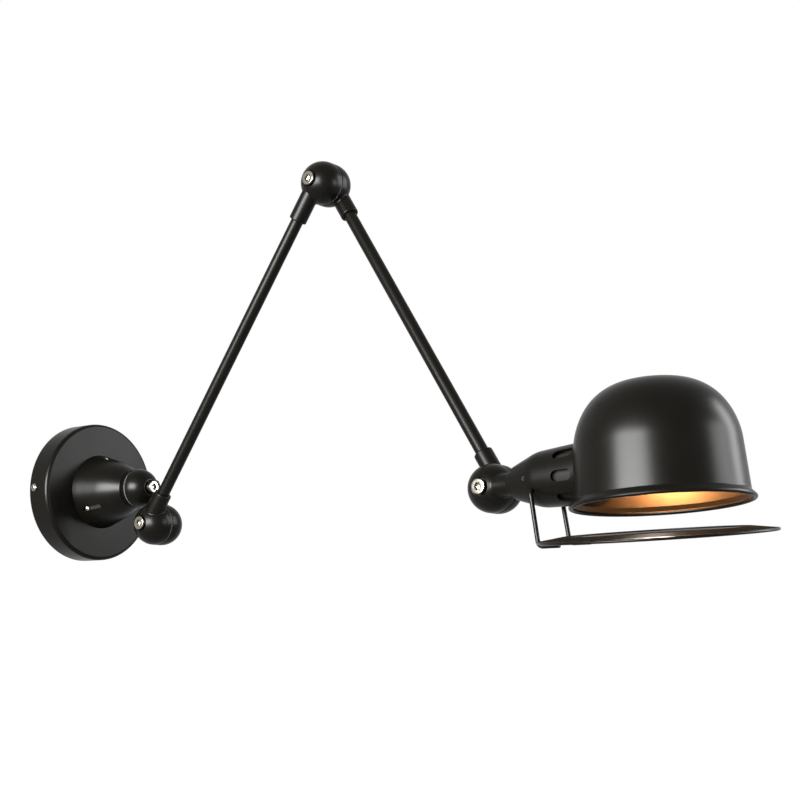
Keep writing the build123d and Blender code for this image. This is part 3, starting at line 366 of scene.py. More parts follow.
def dome_arcs(grow):
    """Arcs of the dome, moved out by a distance, each as its centre (radius, height), its own
    radius and the angles that it runs between, measured from level: a shoulder that continues the
    leaning wall, a brow and a shallow crown on the axis. The brow touches both its neighbours: with
    f the shoulder's end seen from the crown's centre, e the outward unit vector there and R the
    crown's radius, its radius is (R^2 - f.f) / (2 (R - f.e))."""
    lean_out = np.array([np.cos(SHADE_WALL_LEAN), np.sin(SHADE_WALL_LEAN)])
    turned_out = SHADE_WALL_LEAN + SHADE_SHOULDER_TURN
    brow_out = np.array([np.cos(turned_out), np.sin(turned_out)])
    wall_top = np.array([SHADE_WALL_RADIUS - SHADE_WALL_HEIGHT * np.tan(SHADE_WALL_LEAN),
                         SHADE_WALL_HEIGHT])
    shoulder_centre = wall_top - lean_out * SHADE_SHOULDER_RADIUS
    crown_centre = np.array([0, SHADE_HEIGHT - SHADE_CROWN_RADIUS])
    seen = shoulder_centre + brow_out * SHADE_SHOULDER_RADIUS - crown_centre
    brow_radius = ((SHADE_CROWN_RADIUS ** 2 - seen @ seen) / 2
                   / (SHADE_CROWN_RADIUS - seen @ brow_out))
    brow_centre = crown_centre + seen - brow_out * brow_radius
    crown_out = np.arctan2(brow_centre[1] - crown_centre[1], brow_centre[0])
    return [(shoulder_centre, SHADE_SHOULDER_RADIUS + grow, SHADE_WALL_LEAN, turned_out),
            (brow_centre, brow_radius + grow, turned_out, crown_out),
            (crown_centre, SHADE_CROWN_RADIUS + grow, crown_out, np.pi / 2)]


def dome_rows(grow, first_height, count=16):
    """Rows of the dome from a height near its rim to its top."""
    arcs = dome_arcs(grow)
    centre, radius, low, _ = arcs[0]
    foot = centre + radius * np.array([np.cos(low), np.sin(low)])
    heights = np.linspace(first_height, foot[1], 7)[:-1]
    rows = [np.stack([foot[0] + (foot[1] - heights) * np.tan(SHADE_WALL_LEAN), heights], 1)]
    for centre, radius, low, high in arcs:
        angle = np.linspace(low, high, count)[:, None]
        rows.append(centre + radius * np.concatenate([np.cos(angle), np.sin(angle)], 1)[:-1])
    rows.append(np.array([[0, SHADE_HEIGHT + grow]]))
    return np.vstack(rows)


DOME_PROFILE = dome_rows(0.0, -10 * MM)


def dome_radius(height):
    """Radius of the dome at a height above its rim, read off its rows."""
    return np.interp(height, DOME_PROFILE[:, 1], DOME_PROFILE[:, 0])


def reach_of_dome(height_up, sideways):
    """Distance along the head at which a line parallel to it meets the back of the dome: from the
    dome's axis back by the square root of its radius squared less the sideways distance squared."""
    above_rim = height_up + SHADE_DROP
    half = np.sqrt(np.maximum(dome_radius(above_rim) ** 2 - sideways ** 2, 0))
    return SHADE_AT - half


def cover_outline():
    """Outer side of the lampholder cover: cone, rounded knee and slightly flared bell."""
    return rounded([(COVER_START_RADIUS - 1.2 * MM, COVER_START, 0),
                    (COVER_START_RADIUS, COVER_START, 0.7 * MM),
                    (COVER_KNEE_RADIUS, COVER_KNEE_AT, COVER_KNEE_ROUNDING),
                    (COVER_MOUTH_RADIUS, COVER_MOUTH_AT, 0)], 9)


def cover_radius(along):
    """Radius of the bell part of the cover at a distance along the head."""
    slope = (COVER_MOUTH_RADIUS - COVER_KNEE_RADIUS) / (COVER_MOUTH_AT - COVER_KNEE_AT)
    return COVER_KNEE_RADIUS + (along - COVER_KNEE_AT) * slope


def cover_mouth(turn, inset):
    """Distance along the head at which each line of the bell, moved in by a distance, meets the
    dome: the bell's radius and the dome's reach are worked out in turn until they agree."""
    mouth = np.full(turn.shape, COVER_SLOT_END)
    for _ in range(12):
        radius = cover_radius(mouth) - inset
        mouth = reach_of_dome(radius * np.sin(turn), radius * np.cos(turn))
    return mouth


def cover_surface(turn):
    """Cover as a closed wall whose mouth follows the dome."""
    outer = cover_outline()[:-1]
    mouth, inner_mouth = cover_mouth(turn, 0), cover_mouth(turn, COVER_WALL)
    knee = outer[-1, 1]
    rows = [tuple(row) for row in outer]
    for share in np.linspace(0, 1, 12)[1:]:
        along = knee + (mouth - knee) * share
        rows.append((cover_radius(along), along))
    for share in np.linspace(1, 0, 6):
        along = COVER_KNEE_AT + 2 * MM + (inner_mouth - COVER_KNEE_AT - 2 * MM) * share
        rows.append((cover_radius(along) - COVER_WALL, along))
    rows += [(COVER_KNEE_RADIUS - COVER_WALL - 1.8 * MM, COVER_NOSE_END),
             (NECK_RADIUS - 0.3 * MM, COVER_NOSE_END), (NECK_RADIUS - 0.3 * MM, COVER_START)]
    return turned(rows, HEAD, HEAD_ALONG, len(turn), start=X)


def stadium(length, width, count):
    """Outline of a slot with round ends: points at even angles, pushed out to two half circles."""
    angle = np.arange(count) * 2 * np.pi / count
    ends = np.sign(np.cos(angle)) * (length - width) / 2
    return np.stack([ends + np.cos(angle) * width / 2, np.sin(angle) * width / 2], 1)


def slot_cutter(middle, along, outward, length, width, low, high):
    """Prism with a slot's outline, from one distance to another along its outward direction."""
    across = np.cross(outward, along)
    outline = stadium(length, width, 40)
    flat = middle + outline[:, :1] * along + outline[:, 1:] * across
    ends = [middle + outward * low, flat + outward * low,
            flat + outward * high, middle + outward * high]
    return np.array([np.broadcast_to(row, flat.shape) for row in ends])


def cut(surface, cutters, loops):
    """Mesh of a closed wall with prisms cut out of it."""
    wall = plain_object("wall", surface, loops)
    for cutter_surface in cutters:
        cutter = plain_object("cutter", cutter_surface, False)
        modifier = wall.modifiers.new("cut", "BOOLEAN")
        modifier.operation, modifier.solver, modifier.object = "DIFFERENCE", "EXACT", cutter
    evaluated = wall.evaluated_get(bpy.context.evaluated_depsgraph_get())
    result = bpy.data.meshes.new_from_object(evaluated)
    for helper in [modifier.object for modifier in wall.modifiers] + [wall]:
        bpy.data.objects.remove(helper)
    return result


def plain_object(name, surface, loops):
    """Bare object for a cut, with merged doubles and faces turned outwards."""
    rows, columns = surface.shape[:2]
    mesh = bpy.data.meshes.new(name)
    mesh.from_pydata(surface.reshape(-1, 3).tolist(), [],
                     grid_faces(rows, columns, loops, 0).tolist())
    clean(mesh)
    helper = bpy.data.objects.new(name, mesh)
    bpy.context.scene.collection.objects.link(helper)
    return helper


def wire(corners, radius, segments=32):
    """Round wire along a path with rounded corners: at each path point a ring square to the path,
    whose first direction is carried along by removing its part along the path."""
    path = rounded(corners, 9)
    ahead = np.gradient(path, axis=0)
    ahead /= np.linalg.norm(ahead, axis=1)[:, None]
    side = square_axes(ahead[0])[0]
    rows = [np.broadcast_to(path[0], (segments, 3))]
    turn = turns(segments)[:, None]
    for point, forward in zip(path, ahead):
        side = side - forward * (side @ forward)
        side /= np.linalg.norm(side)
        other = np.cross(forward, side)
        rows.append(point + radius * (np.cos(turn) * side + np.sin(turn) * other))
    rows.append(np.broadcast_to(path[-1], (segments, 3)))
    return np.array(rows)


# Materials

class Value:
    """A number or colour socket inside a material, with arithmetic that adds the nodes."""

    def __init__(self, paint, socket):
        self.paint, self.socket = paint, socket

    def _with(self, operation, first, second):
        return self.paint.node("ShaderNodeMath", [first, second], operation=operation)

    def __add__(self, other):
        return self._with("ADD", self, other)

    def __radd__(self, other):
        return self._with("ADD", other, self)

    def __sub__(self, other):
        return self._with("SUBTRACT", self, other)

    def __rsub__(self, other):
        return self._with("SUBTRACT", other, self)

    def __mul__(self, other):
        return self._with("MULTIPLY", self, other)

    def __rmul__(self, other):
        return self._with("MULTIPLY", other, self)

    def __truediv__(self, other):
        return self._with("DIVIDE", self, other)


class Finish:
    """One material: a Principled shader and the nodes that vary its finish."""

    def __init__(self, name, color, roughness, **constants):
        self.material = bpy.data.materials.new(name)
        self.material.use_nodes = True
        self.tree = self.material.node_tree
        self.shader = self.tree.nodes["Principled BSDF"]
        self.shader.inputs["Base Color"].default_value = (*color, 1)
        self.shader.inputs["Roughness"].default_value = roughness
        for socket, value in constants.items():
            self.shader.inputs[socket.replace("_", " ")].default_value = value

    def node(self, kind, inputs=(), output=0, **settings):
        """Node of a type, with its settings first and then its inputs, by place or by name."""
        made = self.tree.nodes.new(kind)
        for key, value in settings.items():
            setattr(made, key, value)
        entries = inputs.items() if isinstance(inputs, dict) else enumerate(inputs)
        for key, value in entries:
            if isinstance(value, Value):
                self.tree.links.new(value.socket, made.inputs[key])
            elif value is not None:
                made.inputs[key].default_value = value
        return Value(self, made.outputs[output])

    def place(self):
        """Position on the piece, in metres."""
        return self.node("ShaderNodeTexCoord", output="Object")

    def noise(self, scale, detail=2.0, roughness=0.5):
        """Noise from 0 to 1, its scale given in cells per metre."""
        return self.node("ShaderNodeTexNoise", {"Vector": self.place(), "Scale": scale,
                                                "Detail": detail, "Roughness": roughness})

    def mix(self, share, first, second):
        """Colour between two others."""
        return self.node("ShaderNodeMix", {0: share, 6: first, 7: second}, output=2,
                         data_type="RGBA")

    def feed(self, socket, value):
        """Link a value to one of the shader's sockets."""
        self.tree.links.new(value.socket, self.shader.inputs[socket])

    def bump(self, height, strength, distance):
        """Surface relief from a height, its depth given in metres."""
        relief = self.node("ShaderNodeBump", {"Height": height, "Strength": strength,
                                              "Distance": distance})
        self.feed("Normal", relief)


def black_paint(name, roughness=0.31):
    """Satin black paint, slightly warm, with a fine sprayed grain and uneven sheen."""
    paint = Finish(name, (0.0008, 0.0007, 0.0005), roughness, Specular_IOR_Level=0.06)
    cloud = paint.noise(38, 3)
    paint.feed("Roughness", roughness - 0.04 + cloud * 0.08)
    tint = paint.noise(55, 4)
    paint.feed("Base Color", paint.mix(tint, (0.0006, 0.0005, 0.0003, 1),
                                       (0.0011, 0.0010, 0.0007, 1)))
    grain = paint.noise(2600, 2, 0.6) * 0.6 + paint.noise(900, 1) * 0.4
    paint.bump(grain, 0.25, 0.00003)
    return paint.material


def gold_paint(name):
    """Dark gold metallic lacquer on the inside of the shade."""
    paint = Finish(name, (0.062, 0.028, 0.010), 0.40, Metallic=1.0)
    cloud = paint.noise(60, 3)
    paint.feed("Roughness", 0.37 + cloud * 0.06)
    paint.feed("Base Color", paint.mix(cloud, (0.057, 0.026, 0.009, 1), (0.067, 0.030, 0.011, 1)))
    paint.bump(paint.noise(2200, 2), 0.2, 0.00003)
    return paint.material


def nickel(name, color=(0.27, 0.25, 0.21), roughness=0.18):
    """Nickel-plated steel, with a fine grain and small stains."""
    plate = Finish(name, color, roughness, Metallic=1.0)
    stain = plate.noise(420, 4, 0.6)
    dark = tuple(channel * 0.62 for channel in color)
    plate.feed("Base Color", plate.mix(stain, (*dark, 1), (*color, 1)))
    plate.feed("Roughness", roughness - 0.05 + stain * 0.12)
    plate.bump(plate.noise(5200, 2), 0.2, 0.00002)
    return plate.material


def plain_finish(name, color, roughness, metallic=0.0, grain=1500.0, **constants):
    """Moulded, plated or glazed surface with a slight change of tone and a fine grain."""
    surface = Finish(name, color, roughness, Metallic=metallic, **constants)
    tone = surface.noise(120, 3)
    dark = tuple(channel * 0.88 for channel in color)
    surface.feed("Base Color", surface.mix(tone, (*dark, 1), (*color, 1)))
    surface.feed("Roughness", roughness - 0.05 + tone * 0.1)
    surface.bump(surface.noise(grain, 2), 0.15, 0.00002)
    return surface.material


def lit_glass(name):
    """Frosted lamp glass that glows warm, dimmer towards the cap."""
    glass = Finish(name, (1.0, 0.86, 0.62), 0.5, Emission_Strength=300.0)
    along = glass.node("ShaderNodeSeparateXYZ", [glass.place()], output=1)
    share = (LAMP_DIM_FROM - along) / (LAMP_DIM_FROM - LAMP_FULL_FROM)
    glow = glass.node("ShaderNodeClamp", [share])
    glass.feed("Emission Color", glass.mix(glow, (0.01, 0.007, 0.005, 1), (1.0, 0.86, 0.72, 1)))
    return glass.material


LAMP_MIDDLE = (HEAD - Y * LAMP_CENTRE)[1]
LAMP_DIM_FROM, LAMP_FULL_FROM = LAMP_MIDDLE + 8 * MM, LAMP_MIDDLE - 6 * MM
BLACK = black_paint("satin black paint")
# Upper side of the guard ring: the black paint made lighter and warmer with its reflection nearly
# off, as painted lamplight in place of the lamp's reflection.
RING_TOP_PAINTED_LIGHT = plain_finish("dull black with painted lamplight", (0.0042, 0.0029, 0.0020), 0.5,
                        Specular_IOR_Level=0.0004)
GOLD = gold_paint("gold lacquer")
NICKEL = nickel("nickel plate")
ZINC = plain_finish("zinc plate", (0.42, 0.42, 0.40), 0.42, 1.0)
DARK_ZINC = plain_finish("dark passivated zinc", (0.008, 0.008, 0.007), 0.6,
                         Specular_IOR_Level=0.05)
BRASS = plain_finish("brass", (0.72, 0.53, 0.24), 0.3, 1.0)
# Porcelain coloured near black, for the lampholder and its clamp ring.
PORCELAIN = plain_finish("near black porcelain", (0.006, 0.0055, 0.005), 0.55, grain=300.0,
                         Specular_IOR_Level=0.03)
TERMINAL = plain_finish("terminal nylon", (0.80, 0.78, 0.72), 0.45)
FRICTION = plain_finish("friction ring fibre", (0.03, 0.03, 0.03), 0.7)
GLASS = lit_glass("lit lamp glass")

# Wall mount

canopy_outline = rounded([
    (CANOPY_HOLE_RADIUS, CANOPY_DEPTH, 0.2 * MM), (CANOPY_RADIUS, CANOPY_DEPTH, CANOPY_EDGE),
    (CANOPY_RADIUS, 0, 0.3 * MM), (CANOPY_RADIUS - CANOPY_WALL, 0, 0.3 * MM),
    (CANOPY_RADIUS - CANOPY_WALL, CANOPY_DEPTH - CANOPY_WALL, CANOPY_EDGE - CANOPY_WALL),
    (CANOPY_HOLE_RADIUS, CANOPY_DEPTH - CANOPY_WALL, 0.2 * MM)], 9, closed=True)
make_piece("canopy_pan", [turned(canopy_outline, np.zeros(3), -Y, 200)], "wall_mount", ["canopy"],
           [BLACK], loops=True)

side_screw_outline = rounded([
    (0, 1.0 * MM, 0), (0.55 * MM, 1.0 * MM, 0), (0.55 * MM, 2.45 * MM, 0.1 * MM),
    (1.6 * MM, 2.6 * MM, 0.8 * MM), (SIDE_SCREW_RADIUS, 1.3 * MM, 0.9 * MM),
    (SIDE_SCREW_RADIUS, -0.2 * MM, 0.1 * MM), (SIDE_SCREW_SHANK, -0.2 * MM, 0),
    (SIDE_SCREW_SHANK, -9 * MM, 0.3 * MM), (0, -9 * MM, 0)], 5)
side_screws = [turned(side_screw_outline, side * X * CANOPY_RADIUS - Y * SIDE_SCREW_AT,
                      side * X, 64) for side in (-1, 1)]
make_piece("side_screws", side_screws, "wall_mount", ["canopy_screws"], [NICKEL])


def hub_side(inset):
    """Side of the hub, moved in by a distance: a cone, then the arc that continues it to the nose.
    With d the step from the cone's end to the nose and n the cone's inward unit normal, the arc's
    radius is d.d / (2 d.n)."""
    root = np.array([HUB_ROOT_RADIUS - inset, CANOPY_DEPTH])
    shoulder = np.array([HUB_SHOULDER_RADIUS - inset, HUB_SHOULDER_AT])
    along = (shoulder - root) / np.linalg.norm(shoulder - root)
    inward = np.array([-along[1], along[0]])
    step = np.array([HUB_NOSE_RADIUS - inset, HUB_NOSE]) - shoulder
    radius = step @ step / 2 / (step @ inward)
    centre = shoulder + inward * radius
    arc = centre + swing(shoulder - centre, shoulder + step - centre, 24)
    share = np.linspace(0, 1, 12)[:-1, None]
    return np.vstack([root + (shoulder - root) * share, arc])


def hub_outline():
    """Hub as a closed wall: its side, a lip that cups the first ball, the flat nose with the stem's
    hole, and the inner side a wall's thickness further in."""
    outer = hub_side(0)
    seat_at = np.array([HUB_LIP_AT, (HUB_LIP_AT + HUB_NOSE) / 2, HUB_NOSE])
    seat = np.sqrt(BASE_BALL_RADIUS ** 2 - (seat_at - BASE_BALL_AT) ** 2) + 0.04 * MM
    nose_lip = rounded([(*outer[-1], 0), (seat[0] + 0.2 * MM, HUB_LIP_AT, 0.2 * MM),
                        *[(radius, height, 0) for radius, height in zip(seat[1:], seat_at[1:])],
                        (HUB_STEM_HOLE, HUB_NOSE, 0.3 * MM),
                        (HUB_STEM_HOLE, HUB_NOSE - HUB_NOSE_WALL, 0)], 6)
    inner = hub_side(HUB_WALL)[::-1]
    inner = inner[inner[:, 1] < HUB_NOSE - HUB_NOSE_WALL]
    return np.vstack([outer[:-1], nose_lip, inner])


slot_middle = (HUB_SLOT_START + HUB_SLOT_END) / 2
screw_seat = (HUB_ROOT_RADIUS - HUB_WALL - HUB_SCREW_SINK
              - (HUB_SCREW_AT - CANOPY_DEPTH) * HUB_SIDE_SLOPE)
hub_screw_outline = rounded([
    (0, 2.1 * MM, 0), (1.5 * MM, 2.0 * MM, 0.5 * MM), (HUB_SCREW_RADIUS, 1.2 * MM, 0.6 * MM),
    (HUB_SCREW_RADIUS, 0, 0.1 * MM), (HUB_SCREW_SHANK, 0, 0),
    (HUB_SCREW_SHANK, -4.5 * MM, 0.3 * MM), (0, -4.5 * MM, 0)], 5)
hub_cutters, hub_screws = [], []
for turn in HUB_SLOT_TURN + np.radians([0, 120, 240]):
    outward = np.array([np.sin(turn), 0, np.cos(turn)])
    hub_cutters.append(slot_cutter(-Y * slot_middle, -Y, outward, HUB_SLOT_END - HUB_SLOT_START,
                                   HUB_SLOT_WIDTH, 8 * MM, 40 * MM))
    hub_screws.append(turned(hub_screw_outline, outward * screw_seat - Y * HUB_SCREW_AT,
                             outward, 48))
hub_mesh = cut(turned(hub_outline(), np.zeros(3), -Y, 180), hub_cutters, True)
finish_piece("hub_bell", hub_mesh, "wall_mount", ["hub"], [BLACK])
make_piece("hub_slot_screws", hub_screws, "wall_mount", ["hub_screws"], [ZINC])


def base_ball_arc(low, high, count=20):
    """Rows of the first ball between two distances from the wall: radius sqrt(R^2 - distance^2)."""
    offset = (np.array([low, high]) - BASE_BALL_AT) / BASE_BALL_RADIUS
    first, last = np.arcsin(np.clip(offset, -1, 1))
    angle = np.linspace(first, last, count)
    return np.stack([BASE_BALL_RADIUS * np.cos(angle),
                     BASE_BALL_AT + BASE_BALL_RADIUS * np.sin(angle)], 1)


inner_arc = base_ball_arc(HUB_NOSE, BASE_BALL_AT - HALF_SEAM)
inner_edge = rounded([(*inner_arc[-2], 0), (*inner_arc[-1], 0.3 * MM),
                      (0, BASE_BALL_AT - HALF_SEAM, 0)], 5)
stem = [(0, HUB_NOSE - STEM_LENGTH), (STEM_RADIUS, HUB_NOSE - STEM_LENGTH), (STEM_RADIUS, HUB_NOSE)]
base_ball_outline = np.vstack([stem, inner_arc[:-2], inner_edge])
make_piece("base_ball_half", [turned(base_ball_outline, np.zeros(3), -Y, 128)], "wall_mount",
           ["base_ball"], [BLACK])

base_bolt = socket_bolt_rows(BASE_HEAD_TOP, BASE_HEAD_RADIUS, 1.4 * MM,
                             BASE_RECESS_FLOOR + 0.3 * MM, BASE_BOLT_END)
make_piece("base_bolt", [turned(base_bolt, np.zeros(3), -Y, 96)], "wall_mount", ["base_pivot_bolt"],
           [NICKEL])

# Knuckle

outer_arc = base_ball_arc(BASE_BALL_AT + HALF_SEAM, BASE_BALL_AT + BASE_BALL_RADIUS, 40)
outer_arc = outer_arc[outer_arc[:, 0] > BASE_RECESS_RADIUS + 0.4 * MM]
outer_edge = rounded([(0, BASE_BALL_AT + HALF_SEAM, 0), (*outer_arc[0], 0.3 * MM),
                      (*outer_arc[1], 0)], 5)
recess = [(BASE_RECESS_RADIUS + 0.1 * MM, outer_arc[-1, 1] + 0.05 * MM),
          (BASE_RECESS_RADIUS, outer_arc[-1, 1] - 0.3 * MM),
          (BASE_RECESS_RADIUS, BASE_RECESS_FLOOR), (0, BASE_RECESS_FLOOR)]
knuckle_ball = turned(np.vstack([outer_edge[:-1], outer_arc[1:], recess]), np.zeros(3), -Y, 128)


def knuckle_neck(turn):
    """Neck between the first ball and the shoulder, with a rolling fillet at each ball."""
    far_foot = SHOULDER + X * KNUCKLE_NECK_SIDE
    to_first = KNUCKLE_NECK_FROM - far_foot
    length = np.linalg.norm(to_first)
    to_first = to_first / length
    low, outward = rolling_fillet(SHOULDER, 1, far_foot, to_first, KNUCKLE_NECK_RADIUS,
                                  KNUCKLE_FILLET, turn)
    ball = -Y * BASE_BALL_AT
    around = far_foot + outward * (KNUCKLE_NECK_RADIUS + KNUCKLE_FILLET)
    gap = around - ball
    along = gap @ to_first
    square = (gap ** 2).sum(1) - (BASE_BALL_RADIUS + KNUCKLE_FILLET) ** 2
    slide = -along - np.sqrt(np.maximum(along ** 2 - square, 0))
    rolling = around + to_first * slide[:, None]
    to_ball = (ball - rolling) / np.linalg.norm(ball - rolling, axis=1)[:, None]
    high = rolling + swing(-outward * KNUCKLE_FILLET, to_ball * KNUCKLE_FILLET, 9)
    root = np.broadcast_to(far_foot, low[:1].shape)
    tip = np.broadcast_to(ball + to_first * 4 * MM + X * 5 * MM, low[:1].shape)
    return np.concatenate([root, low[:1] * 0.85 + root * 0.15, low,
                           high, high[-1:] * 0.85 + tip * 0.15, tip])


make_piece("knuckle_casting", [knuckle_ball, knuckle_neck(turns(96)),
                               half_ball(SHOULDER, 1, nut_pocket_rows(turns(128)))],
           "knuckle", ["knuckle"], [BLACK])

# Arms

lower_along = LOWER_ARM / np.linalg.norm(LOWER_ARM)
upper_along = UPPER_ARM / np.linalg.norm(UPPER_ARM)
NEAR, FAR = -1, 1
ARM_HALVES = (
    ("lower_arm_root_half", "lower_arm_root", "lower_arm", SHOULDER, NEAR, lower_along, 30 * MM),
    ("elbow_near_half", "elbow_inner_half", "lower_arm", ELBOW, NEAR, -lower_along, 35.5 * MM),
    ("elbow_far_half", "elbow_outer_half", "upper_arm", ELBOW, FAR, upper_along, 31 * MM),
    ("wrist_far_half", "wrist_outer_half", "upper_arm", WRIST, FAR, -upper_along, 33.5 * MM))
for name, node, body, centre, side, direction, reach in ARM_HALVES:
    recess_rows = counterbore_rows() if side == NEAR else nut_pocket_rows(turns(128))
    make_piece(name, [half_ball(centre, side, recess_rows),
                      arm_socket(centre, side, direction, reach)],
               body, [node], [BLACK])
for name, start, end, side, body in (("lower_tube", SHOULDER, ELBOW, NEAR, "lower_arm"),
                                     ("upper_tube", ELBOW, WRIST, FAR, "upper_arm")):
    offset = side * X * ARM_OFFSET
    make_piece(name, [tube_surface(start + offset, end + offset, SOCKET_FLOOR)], body,
               [body + "_tube"], [BLACK], loops=True)
for name, centre, body in (("shoulder_bolt", SHOULDER, "lower_arm"),
                           ("elbow_bolt", ELBOW, "lower_arm"), ("wrist_bolt", WRIST, "head")):
    make_piece(name + "_turned", [bolt_surface(centre)], body, [name], [NICKEL])

# Head

neck_rows = [(NECK_ROOT_RADIUS, NECK_ROOT_AT + 4 * MM), (9.2 * MM, NECK_ROOT_AT + 5.5 * MM),
             (NECK_RADIUS, NECK_FULL_AT), (NECK_RADIUS, NECK_END), (0, NECK_END)]
wrist_neck = bar_with_foot(WRIST, NEAR, HEAD, HEAD_ALONG, NECK_ROOT_RADIUS, NECK_FILLET,
                           neck_rows, turns(128))
make_piece("wrist_near_half", [half_ball(WRIST, NEAR, counterbore_rows()), wrist_neck],
           "head", ["wrist_inner_half"], [BLACK])

cover_cutters = []
for index in range(COVER_SLOTS):
    angle = index * 2 * np.pi / COVER_SLOTS + COVER_SLOT_TURN
    outward = X * np.cos(angle) + HEAD_UP * np.sin(angle)
    middle = HEAD + HEAD_ALONG * (COVER_SLOT_START + COVER_SLOT_END) / 2
    cover_cutters.append(slot_cutter(middle, HEAD_ALONG, outward, COVER_SLOT_END - COVER_SLOT_START,
                                     COVER_SLOT_WIDTH, 8 * MM, 30 * MM))
grub_place, grub_bore = HEAD + HEAD_ALONG * GRUB_AT, GRUB_RADIUS + 0.1 * MM
grub_hole = [(0, 9 * MM), (grub_bore, 9 * MM), (grub_bore, 25 * MM), (0, 25 * MM)]
cover_cutters.append(turned(grub_hole, grub_place, -X, 40))
cover_mesh = cut(cover_surface(turns(176)), cover_cutters, True)
finish_piece("cover_bell", cover_mesh, "head", ["lampholder_cover"], [BLACK])
grub_socket = hexagon(GRUB_SOCKET_FLATS, turns(72))
grub_rows = [(0, GRUB_SOCKET_FLOOR), (grub_socket, GRUB_SOCKET_FLOOR),
             (grub_socket, GRUB_OUTER_END), (GRUB_RADIUS, GRUB_OUTER_END),
             (GRUB_RADIUS, GRUB_INNER_END), (0, GRUB_INNER_END)]
make_piece("cover_grub_turned", [turned(grub_rows, grub_place, -X, 72)], "head",
           ["cover_grub_screw"], [DARK_ZINC])

bead_angle = np.linspace(np.radians(15), np.radians(-215), 18)
bead = np.array([SHADE_RIM_RADIUS - SHADE_RIM_BEAD, SHADE_RIM_BEAD]) + SHADE_RIM_BEAD * np.stack(
    [np.cos(bead_angle), np.sin(bead_angle)], 1)
outer_wall = dome_rows(0.0, SHADE_RIM_CREASE)
inner_wall = dome_rows(-SHADE_THICKNESS, SHADE_RIM_CREASE)
flare = rounded([(*outer_wall[1], 0), (*outer_wall[0], 1.2 * MM),
                 (bead[0, 0] - 0.25 * MM, bead[0, 1] + 0.5 * MM, 0.3 * MM), (*bead[1], 0)], 5)
inner_flare = rounded([(*bead[-2], 0), (bead[-1, 0] + 0.2 * MM, bead[-1, 1] + 0.2 * MM, 0.2 * MM),
                       (*inner_wall[0], 1.0 * MM), (*inner_wall[1], 0)], 5)
shade_outline = np.vstack([outer_wall[::-1][:-2], flare[:-1], bead[1:-2], inner_flare,
                           inner_wall[2:]])
inner_start = len(shade_outline) - len(inner_wall[2:]) - len(inner_flare)
shade_surface = turned(shade_outline, SHADE_BASE, HEAD_UP, RIM_SEGMENTS, start=X)


def inner_rows(face_count):
    """True for the faces of the shade's inner rows, which take the second material."""
    return np.arange(face_count) // RIM_SEGMENTS >= inner_start


make_piece("shade_dome", [shade_surface], "head", ["shade"], [BLACK, GOLD], paint=inner_rows)

globe_turn = np.linspace(np.radians(-45), np.radians(90), 40)
globe = np.stack([LAMP_RADIUS * np.cos(globe_turn),
                  LAMP_CENTRE + LAMP_RADIUS * np.sin(globe_turn)], 1)
glass_neck = smooth_curve([(10.8 * MM, LAMP_START), (10.7 * MM, 98 * MM), tuple(globe[0])], 10)[:-1]
glass_outline = np.vstack([[(0, LAMP_START)], glass_neck, globe])
make_piece("lamp_glass", [turned(glass_outline, HEAD, HEAD_ALONG, 96)], "head", ["bulb_glass"],
           [GLASS])

# Guard

rise, run = GUARD_WIDTH * np.sin(GUARD_SLOPE), GUARD_WIDTH * np.cos(GUARD_SLOPE)
band_edge = GUARD_RADIUS - GUARD_BEAD
rolled = np.radians(np.linspace(110, -200, 20))[:, None]
bead_rows = (np.array([band_edge, -GUARD_BEAD])
             + GUARD_BEAD * np.hstack([np.cos(rolled), np.sin(rolled)]))
band_inner = rounded([(*bead_rows[-1], 0), (GUARD_RADIUS - run, rise - GUARD_THICKNESS, 0.4 * MM),
                      (GUARD_RADIUS - run, rise, 0.4 * MM), (*bead_rows[0], 0)], 5)[1:-1]
band_outline = np.vstack([bead_rows, band_inner])
top_start = len(bead_rows) + len(band_inner) // 2


def painted_lamplight_rows(face_count):
    """True for the faces of the ring's upper side, which take the second material, a dull black
    with painted lamplight in place of a reflection.
    """
    return np.arange(face_count) // RIM_SEGMENTS >= top_start


make_piece("guard_band", [turned(band_outline, GUARD_CENTRE, GUARD_UP, RIM_SEGMENTS, start=Y)],
           "guard", ["guard_ring"], [BLACK, RING_TOP_PAINTED_LIGHT], loops=True,
           paint=painted_lamplight_rows)
for name, side in (("near", -1), ("far", 1)):
    leg_x = LEG_PIVOT[0] + side * LEG_SPREAD
    foot_z = (GUARD_CENTRE[2] - GUARD_BEAD * 2 - LEG_RADIUS - 0.03 * MM
              + side * LEG_SPREAD * np.tan(GUARD_SKEW))
    path = [(LEG_PIVOT[0] + side * LEG_PIN_START, LEG_PIVOT[1], LEG_PIVOT[2], 0),
            (leg_x, LEG_PIVOT[1], LEG_PIVOT[2], LEG_BEND),
            (leg_x, WRIST[1] - LEG_KNEE_REACH, foot_z, LEG_BEND),
            (leg_x, WRIST[1] - LEG_TOE_REACH, foot_z, 0)]
    make_piece("wire_leg_" + name, [wire(path, LEG_RADIUS)], "guard", ["guard_leg_" + name],
               [BLACK])

# Finishes of the solids that stay

finish_of = {
    "wall_bracket": ZINC, "terminal_block": TERMINAL, "terminal_screws": ZINC,
    "earth_screw": BRASS, "hub_collar": DARK_ZINC, "collar_screws": NICKEL, "hub_nut": ZINC,
    "base_friction_ring": FRICTION, "shoulder_nut": NICKEL, "shoulder_friction_ring": FRICTION,
    "elbow_nut": NICKEL, "elbow_friction_ring": FRICTION, "wrist_nut": NICKEL,
    "wrist_friction_ring": FRICTION, "holder_nipple": ZINC, "lampholder_insulator": PORCELAIN,
    "lampholder_shell": BRASS, "lampholder_contact": BRASS, "shade_clamp_ring": PORCELAIN,
    "bulb_cap": BRASS}
for node, material in finish_of.items():
    solid = frame["nodes"][node]
    solid.data.materials.clear()
    solid.data.materials.append(material)

# Studio: pale floor, white surroundings and soft lamps

FLOOR_DROP, FLOOR_REACH = 0.75, 30
WORLD_STRENGTH, WORLD_STRENGTH_SEEN = 0.25, 1.0


